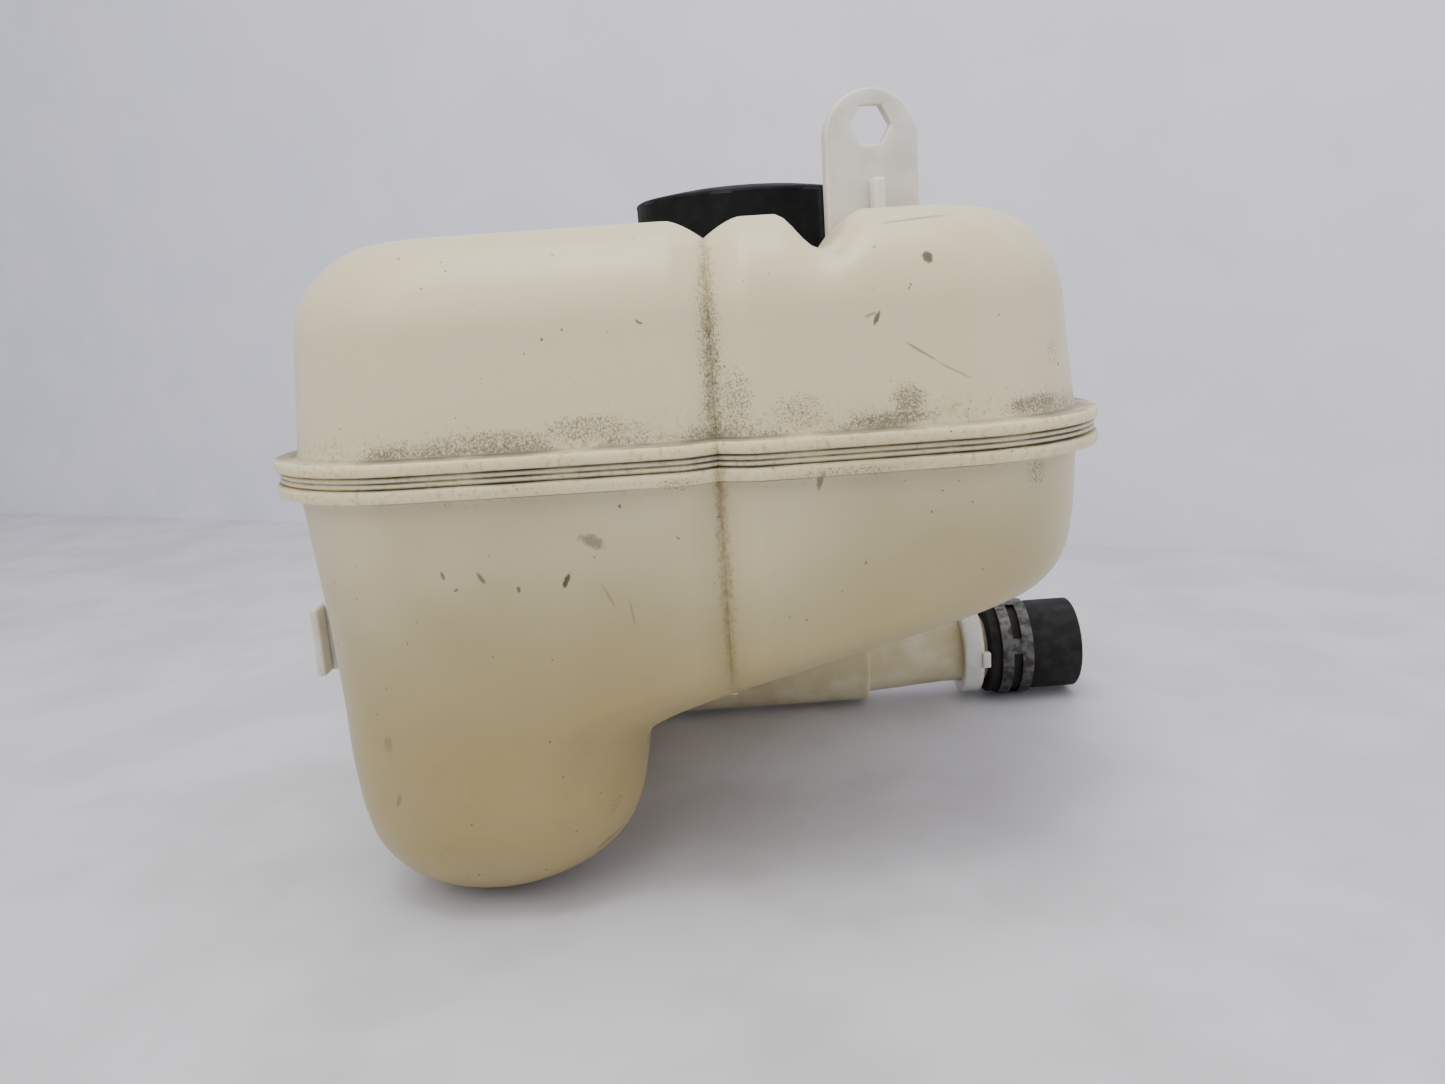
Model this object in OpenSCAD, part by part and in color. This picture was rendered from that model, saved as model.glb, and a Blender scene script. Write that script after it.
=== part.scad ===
// Coolant expansion tank: two moulded shells welded at a double rim, with a screw pressure
// cap, a rear outlet with a clamped hose stub, and a float switch in the back of the sump.
// The tank stands level: +Z up, front face towards -Y, and the lowest point at Z = 0.

/* [Tank] */
// Half width of the tank wall at the weld
half_width = 102; // [100:1:104]
// Half depth of the tank wall at the weld
half_depth = 90; // [88:1:92]
// Height of the underside of the upper rim
weld_top = 122.3; // [122.3:0.1:122.5]
// Height of the top face of the tank
tank_top = 177; // [176:0.5:178]
// Wall thickness of both shells
wall = 2.8; // [2.4:0.1:3]
// How far the rims stand out from the wall
rim_out = 5.5; // [4:0.5:6]
// Thickness of each rim
rim_t = 3.2; // [2.8:0.1:3.4]
// How far the front and back faces bow out in the middle
face_bow = 4.4; // [2:0.2:5]

/* [Filler neck and cap] */
// Sideways place of the neck
neck_x = 22; // [21:0.5:23]
// Fore and aft place of the neck
neck_y = 11; // [10:0.5:12]
// Outer radius of the neck
neck_r = 24; // [23.8:0.1:24.2]
// Radius of the neck's bore
neck_bore_r = 20.5; // [20.4:0.1:20.6]
// Height of the neck's mouth
neck_top = 183; // [182.5:0.5:183]
// Rise of the thread in one turn
thread_pitch = 6; // [5:0.5:6.5]
// Outer radius of the cap
cap_r = 35; // [34:0.5:36]

/* [Outlet and hose] */
// Fore and aft place of the outlet's axis
outlet_y = 70; // [69:0.5:71]
// Height of the outlet's axis
outlet_z = 18.5; // [18.4:0.1:18.6]
// Outer radius of the hose
hose_r = 17.5; // [17:0.1:17.5]
// Radius of the outlet spigot
spigot_r = 12.5; // [12:0.1:12.5]

/* [Top bracket] */
// Width of the bracket's plate
bracket_w = 27; // [24:1:30]
// Height of the bracket's round top
bracket_top = 212; // [206:1:216]
// Width across the flats of the hexagonal hole
hex_flats = 10.4; // [8:0.1:12]

/* [Level switch] */
// Sideways place of the switch
switch_x = -52; // [-56:1:-48]
// Height of the switch
switch_z = 72; // [70:1:74]

/* [Hidden] */
// moves the tank, built about the middle of its rim, so that its foot is at the origin
stand = [63, 0, 0];

$fn = 64;
eps = 0.01;
bead_t = 3.1;
weld_low = weld_top - bead_t;
corner_r = 37;
groove_x = 7.5;
groove_half = 9;
groove_deep = 4.6;
valley_x = 35.5;
valley_half = 11;
valley_deep = 8.8;
recess_deep = 11.5;
recess_in = 38;
recess_out = 50;
round_r = 25;
duct_r = 17.5;
duct_start = -46;
boss_r = 14;
nipple_x = -60;
nipple_z = 150;
nipple_r = 4.5;
bracket_x = 55.7;
bracket_y = -32;
bracket_t = 4;
bracket_turn = 12;
corner_steps = 6;
natural = [0.86, 0.84, 0.74];
black = [0.13, 0.14, 0.15];
rubber = [0.08, 0.08, 0.08];
steel = [0.7, 0.7, 0.72];

// Cross-sections of the lower shell from the rim down:
// height, left reach, right reach, half depth, left corner, right corner, corner depth
lower_sections = [
    [113, 102, 102, 90, 37, 37, 37],
    [100, 101.2, 101.6, 89.4, 37, 37, 37],
    [88.4, 100.4, 100, 88.9, 37, 38, 37],
    [81.6, 99.9, 96, 88.6, 37, 40, 37],
    [77.4, 99.6, 90, 88.3, 37, 44, 36],
    [74.3, 99.3, 80, 88.1, 37, 50, 35],
    [67.3, 98.8, 54, 87.6, 36, 56, 34],
    [59.3, 98.4, 22, 87.2, 36, 54, 33],
    [55.3, 98.1, 6, 86.9, 35, 46, 32],
    [52, 97.9, -5, 86.8, 34, 38, 31],
    [47.2, 97.7, -14, 86.5, 33, 32, 30],
    [41, 97.4, -17.2, 86.1, 32, 30, 30],
    [30, 96.8, -17.8, 85.2, 32, 30, 30],
    [20, 95.5, -21, 82.7, 31, 29, 30],
    [12, 92.5, -26.5, 78, 30, 28, 29],
    [6, 87.5, -34, 71, 26, 26, 27],
    [2, 81, -43, 63, 18, 18, 22],
    [0, 72, -54, 54, 8, 8, 14]
];

// Rise and fall of a smooth step from 0 to 1 as t goes from 0 to 1
function ease(t) = let (c = max(0, min(1, t))) c * c * (3 - 2 * c);

// Depth of the sharp front groove at a sideways place
function groove(x) =
    let (u = abs(x - groove_x) / groove_half)
    u >= 1 ? 0 : groove_deep * pow(1 - u, 1.5);

// Depth of the drain valley at a sideways place
function valley(x) =
    let (u = (x - valley_x) / valley_half)
    abs(u) >= 1 ? 0 : valley_deep * pow(cos(90 * u), 2);

// Depth of the round recess about the neck
function recess(x, y) =
    recess_deep * (1 - ease((norm([x - neck_x, y - neck_y]) - recess_in) / (recess_out - recess_in)));

// How far the top surface lies below tank_top
function top_dip(x, y) =
    max(recess(x, y), (y < neck_y ? valley(x) : 0), groove(x) * ease((-y - 20) / 20));

// Sideways places along the front edge of a section: points at the groove and the valley
// where the edge reaches them, and even steps where it is too short
function edge_places(x0, x1) =
    let (a = groove_x - groove_half, v = 0.8 * valley_half)
    x1 < groove_x + groove_half + 4
        ? [for (k = [1:10]) x0 + (x1 - x0) * k / 11]
        : concat(
            [for (k = [1:3]) x0 + (a - x0) * k / 4],
            [for (k = [0:3]) a + groove_half * k / 2],
            x1 > valley_x + v + 6
                ? [valley_x - v, valley_x, valley_x + v]
                : [for (k = [1:3]) a + groove_half * 1.5 + (x1 - a - groove_half * 1.5) * k / 4]
        );

// One closed section, counter-clockwise from the front left corner.
// left, right and deep are the reaches from the origin, and tilt is the slope of the skin
// (0 on the wall, 90 on top) along which the groove and valley sink in.
function section(z, left, right, deep, cl, cr, cd, tilt) =
    let (
        steps = corner_steps,
        x0 = -left + cl,
        x1 = right - cr,
        on = x1 < groove_x + groove_half + 4 ? 0 : 1,
        fx = edge_places(x0, x1),
        last = len(fx) - 1,
        flat = concat(
            [for (k = [0:steps]) let (a = 180 + 90 * k / steps)
                [x0 + cl * cos(a), -deep + cd + cd * sin(a), 0]],
            [for (x = fx) [x, -deep, on]],
            [for (k = [0:steps]) let (a = 270 + 90 * k / steps)
                [x1 + cr * cos(a), -deep + cd + cd * sin(a), 0]],
            [for (k = [1:5]) [right, (-deep + cd) * (1 - k / 3), 0]],
            [for (k = [0:steps]) let (a = 90 * k / steps)
                [x1 + cr * cos(a), deep - cd + cd * sin(a), 0]],
            [for (k = [0:last]) [fx[last - k], deep, on]],
            [for (k = [0:steps]) let (a = 90 + 90 * k / steps)
                [x0 + cl * cos(a), deep - cd + cd * sin(a), 0]],
            [for (k = [1:5]) [-left, (deep - cd) * (1 - k / 3), 0]]
        )
    )
    [for (p = flat)
        let (
            bow = 1 - pow(p[0] / half_width, 2),
            side = 1 - pow(p[1] / half_depth, 2),
            sink = p[2] * groove(p[0]),
            dip = p[2] * (p[1] < 0 ? valley(p[0]) : 0) * pow(sin(tilt), 2)
        )
        [
            p[0] + p[0] / half_width * side,
            p[1] + sign(p[1]) * (abs(p[1]) / deep * face_bow * bow - sink * cos(tilt)),
            z - sink * sin(tilt) - dip
        ]
    ];

// Triangles that join each section to the next, and the last to the first when looped
function skins(rings, points, looped) = [
    for (i = [0:rings - (looped ? 1 : 2)], j = [0:points - 1], half = [0, 1])
        let (
            a = i * points + j,
            b = i * points + (j + 1) % points,
            c = ((i + 1) % rings) * points + j,
            d = ((i + 1) % rings) * points + (j + 1) % points
        )
        half == 0 ? [a, c, d] : [a, d, b]
];

// Joins a list of sections into one closed solid, looped or with flat ends
module loft(rings, looped) {
    points = len(rings[0]);
    ends = looped ? [] : [
        [for (j = [0:points - 1]) j],
        [for (j = [0:points - 1]) len(rings) * points - 1 - j]
    ];
    polyhedron(
        points = [for (r = rings, p = r) p],
        faces = concat(skins(len(rings), points, looped), ends),
        convexity = 6
    );
}

// Section of the upper shell: inset from the wall, height and skin slope
function upper_section(inset, z, tilt) =
    section(
        z, half_width - inset, half_width - inset, half_depth - inset * 0.85,
        max(14, corner_r - inset * 0.7), max(14, corner_r - inset * 0.7),
        max(14, corner_r - inset * 0.7), tilt
    );

// Rings of the upper shell's skin, pushed in by thickness
function upper_rings(thick) = concat(
    [for (z = [weld_top + rim_t + 0.8, 138, 152])
        upper_section(thick + (z - weld_top) * 0.1, z, 0)],
    [for (a = [18, 36, 54, 72, 90])
        upper_section(thick + 3 + round_r * (1 - cos(a)), tank_top - round_r - thick + round_r * sin(a), a)]
);

// Rings across the top, from the rounded edge to the neck
function top_rings(thick) =
    let (edge = upper_section(thick + 3 + round_r, tank_top, 0))
    [for (s = [0.3, 0.55, 0.78, 1])
        [for (p = edge)
            let (
                turn = atan2(p[1] - neck_y, p[0] - neck_x),
                q = [neck_x + neck_r * cos(turn), neck_y + neck_r * sin(turn)],
                x = p[0] + s * (q[0] - p[0]),
                y = p[1] + s * (q[1] - p[1])
            )
            [x, y, tank_top - thick - top_dip(x, y)]
        ]
    ];

// Rim and foot of a shell between two heights, in the order low to high
function rim_rings(low, high) = [
    upper_section(-rim_out, low, 0),
    upper_section(-rim_out, high, 0)
];

function flipped(list) = [for (k = [1:len(list)]) list[len(list) - k]];

// A ridge that winds about Z: root and crest radii, half heights, start height and turns
module helix_ridge(root, crest, root_half, crest_half, base_z, pitch, turns) {
    steps = 24;
    count = round(steps * turns);
    rings = [for (k = [0:count])
        let (
            a = 360 * k / steps,
            z = base_z + pitch * k / steps,
            fade = min(1, min(k, count - k) / 2),
            r = root + (crest - root) * max(0.15, fade),
            edge = root < crest ? 1 : -1
        )
        edge > 0
            ? [
                [root * cos(a), root * sin(a), z + root_half],
                [root * cos(a), root * sin(a), z - root_half],
                [r * cos(a), r * sin(a), z - crest_half],
                [r * cos(a), r * sin(a), z + crest_half]
            ]
            : [
                [root * cos(a), root * sin(a), z - root_half],
                [root * cos(a), root * sin(a), z + root_half],
                [r * cos(a), r * sin(a), z + crest_half],
                [r * cos(a), r * sin(a), z - crest_half]
            ]
    ];
    loft(flipped(rings), false);
}

// A coil spring about Z with closed ends: mean radius, wire radius, heights and turns
module coil(mean_r, wire_r, low, high, turns, steps, sides) {
    count = turns * steps;
    rise = high - low - 2 * wire_r;
    rings = [for (k = [0:count])
        let (
            a = 360 * k / steps,
            t = k / count,
            even = max(0, min(1, (t - 0.1) / 0.8)),
            z = low + wire_r + rise * (0.35 * ease((t - 0.08) / 0.84) + 0.65 * even)
        )
        [for (s = [0:sides - 1])
            let (b = 360 * s / sides)
            [(mean_r + wire_r * cos(b)) * cos(a), (mean_r + wire_r * cos(b)) * sin(a), z + wire_r * sin(b)]
        ]
    ];
    loft(flipped(rings), false);
}

// A tube about Z
module tube(outer, inner, low, high) {
    difference() {
        translate([0, 0, low]) cylinder(r = outer, h = high - low);
        translate([0, 0, low - 1]) cylinder(r = inner, h = high - low + 2);
    }
}

module at_neck() {
    translate([neck_x, neck_y, 0]) children();
}

// Turns +Z to +X and moves to the outlet's axis
module at_outlet() {
    translate([0, outlet_y, outlet_z]) rotate([0, 90, 0]) children();
}

// Turns +Z to +Y and moves to the level switch's axis
module at_switch() {
    translate([switch_x, 0, switch_z]) rotate([-90, 0, 0]) children();
}

// Upright bracket with a hexagonal hole, and a gusset on each side of its plate
module top_bracket() translate(stand) color([0.82, 0.82, 0.8]) {
    arc_r = bracket_w / 2;
    translate([bracket_x, bracket_y, 0]) rotate([0, 0, bracket_turn]) {
        difference() {
            union() {
                translate([-arc_r, 0, 168]) cube([bracket_w, bracket_t, bracket_top - arc_r - 168]);
                translate([0, bracket_t, bracket_top - arc_r]) rotate([90, 0, 0])
                    cylinder(r = arc_r, h = bracket_t);
            }
            translate([0, bracket_t + 1, bracket_top - 9.5]) rotate([90, 0, 0])
                cylinder(r = hex_flats / sqrt(3), h = bracket_t + 2, $fn = 6);
        }
        translate([-1.5, -5, 172]) cube([3, 5 + eps, 16]);
        translate([-1.5, bracket_t - eps, 172]) cube([3, 7, 12]);
    }
}

// Upper moulding: the dome with its recess, groove and drain valley
module upper_shell() translate(stand) color(natural) {
    inner = concat([upper_section(wall, weld_top, 0)], upper_rings(wall), top_rings(wall));
    outer = concat(rim_rings(weld_top, weld_top + rim_t), upper_rings(0), top_rings(0));
    resize([0, 0, 0]) difference() {
        loft(concat(outer, flipped(inner)), true);
        translate([nipple_x, 70, nipple_z]) rotate([-90, 0, 0]) cylinder(r = nipple_r, h = 40, $fn = 24);
    }
}

// Threaded mouth of the tank
module filler_neck() translate(stand) color(natural) at_neck() {
    tube(neck_r, neck_bore_r, 161, neck_top);
    helix_ridge(neck_r - 0.8, neck_r + 2.1, 1.7, 0.8, 170.4, thread_pitch, 1.5);
}

// Barbed nipple for the thin return hose
module return_nipple() translate(stand) color(natural)
    translate([nipple_x, 0, nipple_z]) rotate([-90, 0, 0]) {
    difference() {
        union() {
            translate([0, 0, 82]) cylinder(r = nipple_r, h = 30);
            translate([0, 0, 108]) cylinder(r = nipple_r + 0.6, h = 2.5);
        }
        translate([0, 0, 80]) cylinder(r = 2.5, h = 40);
    }
}

// Slide rail on the left wall that drops into a body bracket
module side_rail() translate(stand) color([0.82, 0.82, 0.8]) {
    translate([-111.2, -45, 60]) cube([2.6, 16, 20]);
    translate([-109, -39, 60]) cube([11, 4, 20]);
}

// Lower moulding: the shallow right lobe and the deep left sump
module lower_shell() translate(stand) color(natural) {
    outer = [for (s = lower_sections)
        section(s[0], s[1], s[2], s[3], s[4], s[5], s[6], 0)];
    inner = [for (s = lower_sections)
        section(s[0] + wall, s[1] - wall, s[2] - wall, s[3] - wall,
            max(4, s[4] - wall), max(4, s[5] - wall), max(8, s[6] - wall), 0)];
    rim = rim_rings(weld_low - rim_t, weld_low);
    resize([0, 0, 0]) difference() {
        loft(concat(flipped(outer), rim, [upper_section(wall, weld_low, 0)], inner), false);
        at_outlet() translate([0, 0, duct_start]) cylinder(r = duct_r, h = 60, $fn = 48);
        at_switch() translate([0, 0, 70]) cylinder(r = boss_r, h = 40, $fn = 32);
    }
}

// Slosh wall under the groove, with three flow notches
module slosh_wall() translate(stand) color(natural) {
    floor_z = 58.8;
    difference() {
        translate([groove_x - 1.2, -80, floor_z]) cube([2.4, 160, 108 - floor_z]);
        for (y = [-50, 50])
            translate([groove_x - 3, y - 12, floor_z - 1]) cube([6, 24, 14]);
        translate([groove_x - 3, -30, 96]) cube([6, 60, 20]);
    }
}

// Duct that leads from the back of the sump to the outlet pipe. Its left end is closed and
// lies in the sump's corner, and a window in it lets the coolant in.
module outlet_duct() translate(stand) color(natural) {
    difference() {
        at_outlet() translate([0, 0, duct_start]) cylinder(r = duct_r, h = 58 - duct_start);
        at_outlet() translate([0, 0, duct_start + wall]) cylinder(r = 15, h = 60 - duct_start);
        translate([duct_start + 4, 46, 21]) cube([12, 24, 20]);
    }
}

// Round boss in the back wall that holds the level switch, with slots for its clip
module switch_boss() translate(stand) color(natural) at_switch() {
    difference() {
        tube(boss_r, 10.5, 82, 98);
        for (side = [-1, 1])
            translate([side * 11.5 - 1.25, -20, 92.5]) cube([2.5, 40, 2]);
    }
}

module weld_bead() translate(stand) color([0.78, 0.76, 0.66]) {
    loft([
        upper_section(-3.6, weld_low, 0),
        upper_section(-4.5, weld_low + bead_t / 2, 0),
        upper_section(-3.6, weld_top, 0),
        upper_section(wall, weld_top, 0),
        upper_section(wall, weld_low, 0)
    ], true);
}

module outlet_pipe() translate(stand) color([0.88, 0.87, 0.8]) at_outlet() {
    difference() {
        union() {
            translate([0, 0, 46]) cylinder(r = 14.95, h = 13);
            translate([0, 0, 58]) cylinder(r = duct_r - 0.1, h = 3);
            translate([0, 0, 61]) cylinder(r1 = 14.6, r2 = spigot_r, h = 30);
            translate([0, 0, 91]) cylinder(r = spigot_r, h = 41);
        }
        translate([0, 0, 45]) cylinder(r = 10, h = 95);
    }
}

module outlet_collar() translate(stand) color([0.85, 0.85, 0.82]) at_outlet() {
    tube(17, spigot_r + 0.05, 98, 105.5);
    translate([-3, -17.8, 105]) cube([6, 3.5, 2.6]);
}

module hose_stub() translate(stand) color(rubber) at_outlet() {
    difference() {
        translate([0, 0, 107.7]) cylinder(r = hose_r, h = 35.3);
        translate([0, 0, 106.7]) cylinder(r = spigot_r + 0.05, h = 25.6);
        translate([0, 0, 132]) cylinder(r = spigot_r - 0.5, h = 12);
    }
}

// Spring band with a window in its middle and two squeeze ears
module hose_clamp() translate(stand) color(steel) at_outlet() {
    band_in = hose_r + 0.02;
    band_out = hose_r + 1;
    difference() {
        tube(band_out, band_in, 112, 124);
        rotate([0, 0, 100]) translate([0, -4, 115.5]) cube([30, 8, 5]);
    }
    for (turn = [128, 152])
        rotate([0, 0, turn]) translate([band_out - 0.4, -0.5, 114]) cube([7.5, 1, 8]);
}

// Clear sticker under the front of the sloping floor
module label() translate(stand) color([0.9, 0.9, 0.88, 0.6]) {
    translate([7, -70, 55.1]) rotate([0, -14.04, 0]) cube([42, 36, 0.3]);
}

module cap_cover() translate(stand) color(black) at_neck() {
    low = 169;
    shoulder = 188.4;
    plate_low = 187.4;
    difference() {
        union() {
            translate([0, 0, low]) cylinder(r = cap_r - 0.8, h = shoulder - low);
            for (k = [0:7])
                rotate([0, 0, 31 + 45 * k]) translate([cap_r - 3, -3, low]) cube([3, 6, shoulder - low]);
            rotate_extrude()
                polygon([[0, shoulder - 1], [34.4, shoulder - 1], [34.4, shoulder], [33.4, 189.4],
                    [22.5, 191.3], [14, 192], [0, 192.3]]);
        }
        translate([0, 0, low - 1]) difference() {
            cylinder(r = 32, h = plate_low - low + 1);
            cylinder(r = 29.4, h = plate_low - low + 2);
        }
        translate([0, 0, low - 1]) cylinder(r = 27.2, h = plate_low - low + 1);
    }
    helix_ridge(27.8, 24.7, 1.7, 0.7, 173.4, thread_pitch, 1.25);
    for (k = [0:2])
        rotate([0, 0, 120 * k]) translate([25.1, -4, 183.5]) cube([2.8, 8, 0.8]);
}

module cap_insert() translate(stand) color([0.16, 0.17, 0.18]) at_neck() {
    difference() {
        union() {
            translate([0, 0, 184.6]) cylinder(r = 26, h = 2.4);
            translate([0, 0, 157]) cylinder(r = 19.8, h = 28);
        }
        translate([0, 0, 156]) cylinder(r = 16.5, h = 28.6);
        tube(21, 18.2, 172, 175.2);
        for (k = [0:3])
            rotate([0, 0, 90 * k + 45]) translate([10, 0, 167]) rotate([0, 90, 0]) cylinder(r = 1.8, h = 12);
    }
}

module neck_gasket() translate(stand) color(rubber) at_neck() {
    tube(23.6, 20.8, neck_top + 0.1, 184.6);
}

module cap_seal() translate(stand) color(rubber) at_neck() translate([0, 0, 173.6]) {
    rotate_extrude() translate([19.33, 0]) circle(r = 1.12, $fn = 24);
}

module valve_seat() translate(stand) color([0.16, 0.17, 0.18]) at_neck() {
    tube(16.45, 9, 157.2, 159.4);
    tube(11.2, 9, 159.3, 160.4);
}

module pressure_plate() translate(stand) color(steel) at_neck() {
    tube(14.5, 3.2, 162, 163.6);
    tube(14.5, 13.3, 163.5, 166);
}

module pressure_seal() translate(stand) color(rubber) at_neck() {
    tube(12.6, 8, 160.5, 162);
}

module pressure_spring() translate(stand) color(steel) at_neck() {
    coil(11.4, 0.9, 163.65, 184.5, 5, 16, 6);
}

module vacuum_valve() translate(stand) color([0.7, 0.66, 0.5]) at_neck() {
    translate([0, 0, 159.6]) cylinder(r = 6.4, h = 1.5);
    translate([0, 0, 161]) cylinder(r = 1.6, h = 12);
}

module vacuum_seal() translate(stand) color(rubber) at_neck() {
    tube(6.2, 1.65, 161.1, 161.95);
}

module vacuum_spring() translate(stand) color(steel) at_neck() {
    coil(4.1, 0.35, 163.65, 170.9, 5, 12, 5);
}

module vacuum_collar() translate(stand) color(steel) at_neck() {
    tube(4.8, 1.62, 171, 172);
}

module switch_body() translate(stand) color(black) at_switch() {
    difference() {
        union() {
            translate([0, 0, 74]) cylinder(r = 10.4, h = 24.5);
            translate([0, 0, 98.1]) cylinder(r = 14, h = 2.4);
            translate([-8, -6.5, 100]) cube([16, 13, 15]);
            for (side = [-1, 1])
                translate([side * 4.6 - 1.4, -4, 62]) cube([2.8, 8, 13]);
        }
        tube(11, 9.1, 84.5, 87);
        translate([-6.4, -5.2, 104]) cube([12.8, 10.4, 12]);
        for (side = [-1, 1])
            translate([side * 2.7 - 1.1, -0.4, 92.6]) cube([2.2, 0.8, 12]);
        translate([-8, 0, 65.5]) rotate([0, 90, 0]) cylinder(r = 1.05, h = 16);
        translate([0, 0, 76]) cylinder(r = 2.1, h = 30);
        for (side = [-1, 1])
            translate([side * 11.5 - 1.35, -20, 92.4]) cube([2.7, 40, 2.2]);
    }
}

module reed_switch() translate(stand) color([0.6, 0.75, 0.6]) at_switch() {
    translate([0, 0, 76.1]) cylinder(r = 2, h = 16.2);
}

module switch_seal() translate(stand) color(rubber) at_switch() translate([0, 0, 85.75]) {
    rotate_extrude() translate([9.77, 0]) circle(r = 0.67, $fn = 20);
}

// U-shaped spring clip that locks the switch in its boss
module switch_clip() translate(stand) color(steel) {
    for (side = [-1, 1])
        translate([switch_x + side * 11.5 - 1, 92.7, switch_z - 17]) cube([2, 1.6, 36]);
    translate([switch_x - 12.5, 92.7, switch_z + 17]) cube([25, 1.6, 2]);
}

module terminals() translate(stand) color([0.75, 0.65, 0.4]) at_switch() {
    for (side = [-1, 1])
        translate([side * 2.7 - 1.1, -0.4, 92.6]) cube([2.2, 0.8, 19]);
}

module float_pin() translate(stand) color(steel) at_switch() {
    translate([-6.6, 0, 65.5]) rotate([0, 90, 0]) cylinder(r = 1.03, h = 13.2);
}

module float_arm() translate(stand) color([0.3, 0.3, 0.3]) at_switch() {
    difference() {
        union() {
            translate([-2.6, 0, 65.5]) rotate([0, 90, 0]) cylinder(r = 4, h = 5.2);
            translate([-2.6, -2, 40]) cube([5.2, 4, 24]);
            translate([-2.6, -7, 62.5]) cube([5.2, 5.5, 6]);
        }
        translate([-4, 0, 65.5]) rotate([0, 90, 0]) cylinder(r = 1.08, h = 8);
        translate([-1.6, -7.1, 63.7]) cube([3.2, 3.6, 3.6]);
    }
}

module level_float() translate(stand) color([0.85, 0.75, 0.45]) at_switch() {
    difference() {
        translate([-11, 0, 30]) rotate([0, 90, 0]) cylinder(r = 11, h = 22);
        translate([-2.65, -2.05, 38]) cube([5.3, 4.1, 6]);
    }
}

module float_magnet() translate(stand) color([0.25, 0.25, 0.27]) at_switch() {
    translate([-1.5, -7, 63.8]) cube([3, 3.4, 3.4]);
}

upper_shell();
lower_shell();
weld_bead();
slosh_wall();
filler_neck();
top_bracket();
side_rail();
return_nipple();
outlet_duct();
switch_boss();
outlet_pipe();
outlet_collar();
hose_stub();
hose_clamp();
label();
cap_cover();
cap_insert();
neck_gasket();
cap_seal();
valve_seat();
pressure_plate();
pressure_seal();
pressure_spring();
vacuum_valve();
vacuum_seal();
vacuum_spring();
vacuum_collar();
switch_body();
reed_switch();
switch_seal();
switch_clip();
terminals();
float_arm();
float_pin();
level_float();
float_magnet();
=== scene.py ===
"""Looks of a coolant expansion tank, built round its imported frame.

Lengths are in millimetres until a mesh is made, and in metres from there on.
"""

from __future__ import annotations

import logging
import math
from dataclasses import dataclass, field
from enum import Enum
from typing import Any, Callable, Iterable, Sequence

import bmesh
import bpy
import numpy as np
from mathutils import Matrix, Vector

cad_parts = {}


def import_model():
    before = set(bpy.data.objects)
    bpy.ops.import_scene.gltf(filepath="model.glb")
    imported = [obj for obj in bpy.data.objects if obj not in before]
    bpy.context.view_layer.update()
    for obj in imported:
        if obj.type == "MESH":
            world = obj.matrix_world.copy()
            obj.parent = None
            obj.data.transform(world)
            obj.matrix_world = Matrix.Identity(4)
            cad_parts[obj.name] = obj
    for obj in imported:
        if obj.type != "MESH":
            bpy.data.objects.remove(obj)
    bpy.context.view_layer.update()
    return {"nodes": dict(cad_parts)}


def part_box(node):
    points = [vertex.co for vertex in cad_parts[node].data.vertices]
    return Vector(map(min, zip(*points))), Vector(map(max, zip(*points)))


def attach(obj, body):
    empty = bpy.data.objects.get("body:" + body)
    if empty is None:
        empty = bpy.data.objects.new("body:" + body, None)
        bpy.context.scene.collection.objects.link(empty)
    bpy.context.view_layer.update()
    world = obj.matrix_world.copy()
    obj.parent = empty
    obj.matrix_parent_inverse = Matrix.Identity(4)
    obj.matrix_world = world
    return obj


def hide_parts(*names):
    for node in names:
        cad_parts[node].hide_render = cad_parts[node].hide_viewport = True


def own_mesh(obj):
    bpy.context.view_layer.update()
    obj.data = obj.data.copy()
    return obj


log = logging.getLogger("expansion_tank")

MM = 0.001

Ring = np.ndarray


class Corner(Enum):
    """Where a turned profile closes."""

    OPEN = "open"
    LOOP = "loop"


# ---------------------------------------------------------------- small tools


def linear(hex_colour: str) -> tuple[float, float, float, float]:
    """Turns an sRGB hex colour to linear RGBA.

    Args:
        hex_colour: six hex digits.

    Returns:
        The colour in linear light, with alpha 1.
    """
    values = [int(hex_colour[i : i + 2], 16) / 255 for i in (0, 2, 4)]
    done = [v / 12.92 if v <= 0.04045 else ((v + 0.055) / 1.055) ** 2.4 for v in values]
    return (done[0], done[1], done[2], 1.0)


def ease(t: np.ndarray | float) -> np.ndarray:
    """Smooth step from 0 to 1 while t goes from 0 to 1.

    Args:
        t: any number or array.

    Returns:
        The eased values.
    """
    c = np.clip(t, 0.0, 1.0)
    return c * c * (3 - 2 * c)


def mesh_piece(name: str, points: Iterable[Sequence[float]], faces: list, crease: float = 35.0) -> Any:
    """Makes an object from points in millimetres.

    Args:
        name: the piece's name.
        points: vertices in millimetres.
        faces: index lists.
        crease: edges sharper than this many degrees stay sharp.

    Returns:
        The new object, linked to the scene.
    """
    mesh = bpy.data.meshes.new(name)
    mesh.from_pydata([tuple(c * MM for c in p) for p in points], [], faces)
    mesh.validate()
    smooth(mesh, crease)
    piece = bpy.data.objects.new(name, mesh)
    bpy.context.scene.collection.objects.link(piece)
    return piece


def smooth(mesh: Any, crease: float = 35.0) -> None:
    """Turns normals outwards and smooths all but the sharp edges.

    Args:
        mesh: the mesh to change.
        crease: edges sharper than this many degrees stay sharp.
    """
    work = bmesh.new()
    work.from_mesh(mesh)
    bmesh.ops.remove_doubles(work, verts=work.verts, dist=1e-7)
    bmesh.ops.recalc_face_normals(work, faces=work.faces)
    work.to_mesh(mesh)
    work.free()
    mesh.polygons.foreach_set("use_smooth", [True] * len(mesh.polygons))
    mesh.set_sharp_from_angle(angle=math.radians(crease))


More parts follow.
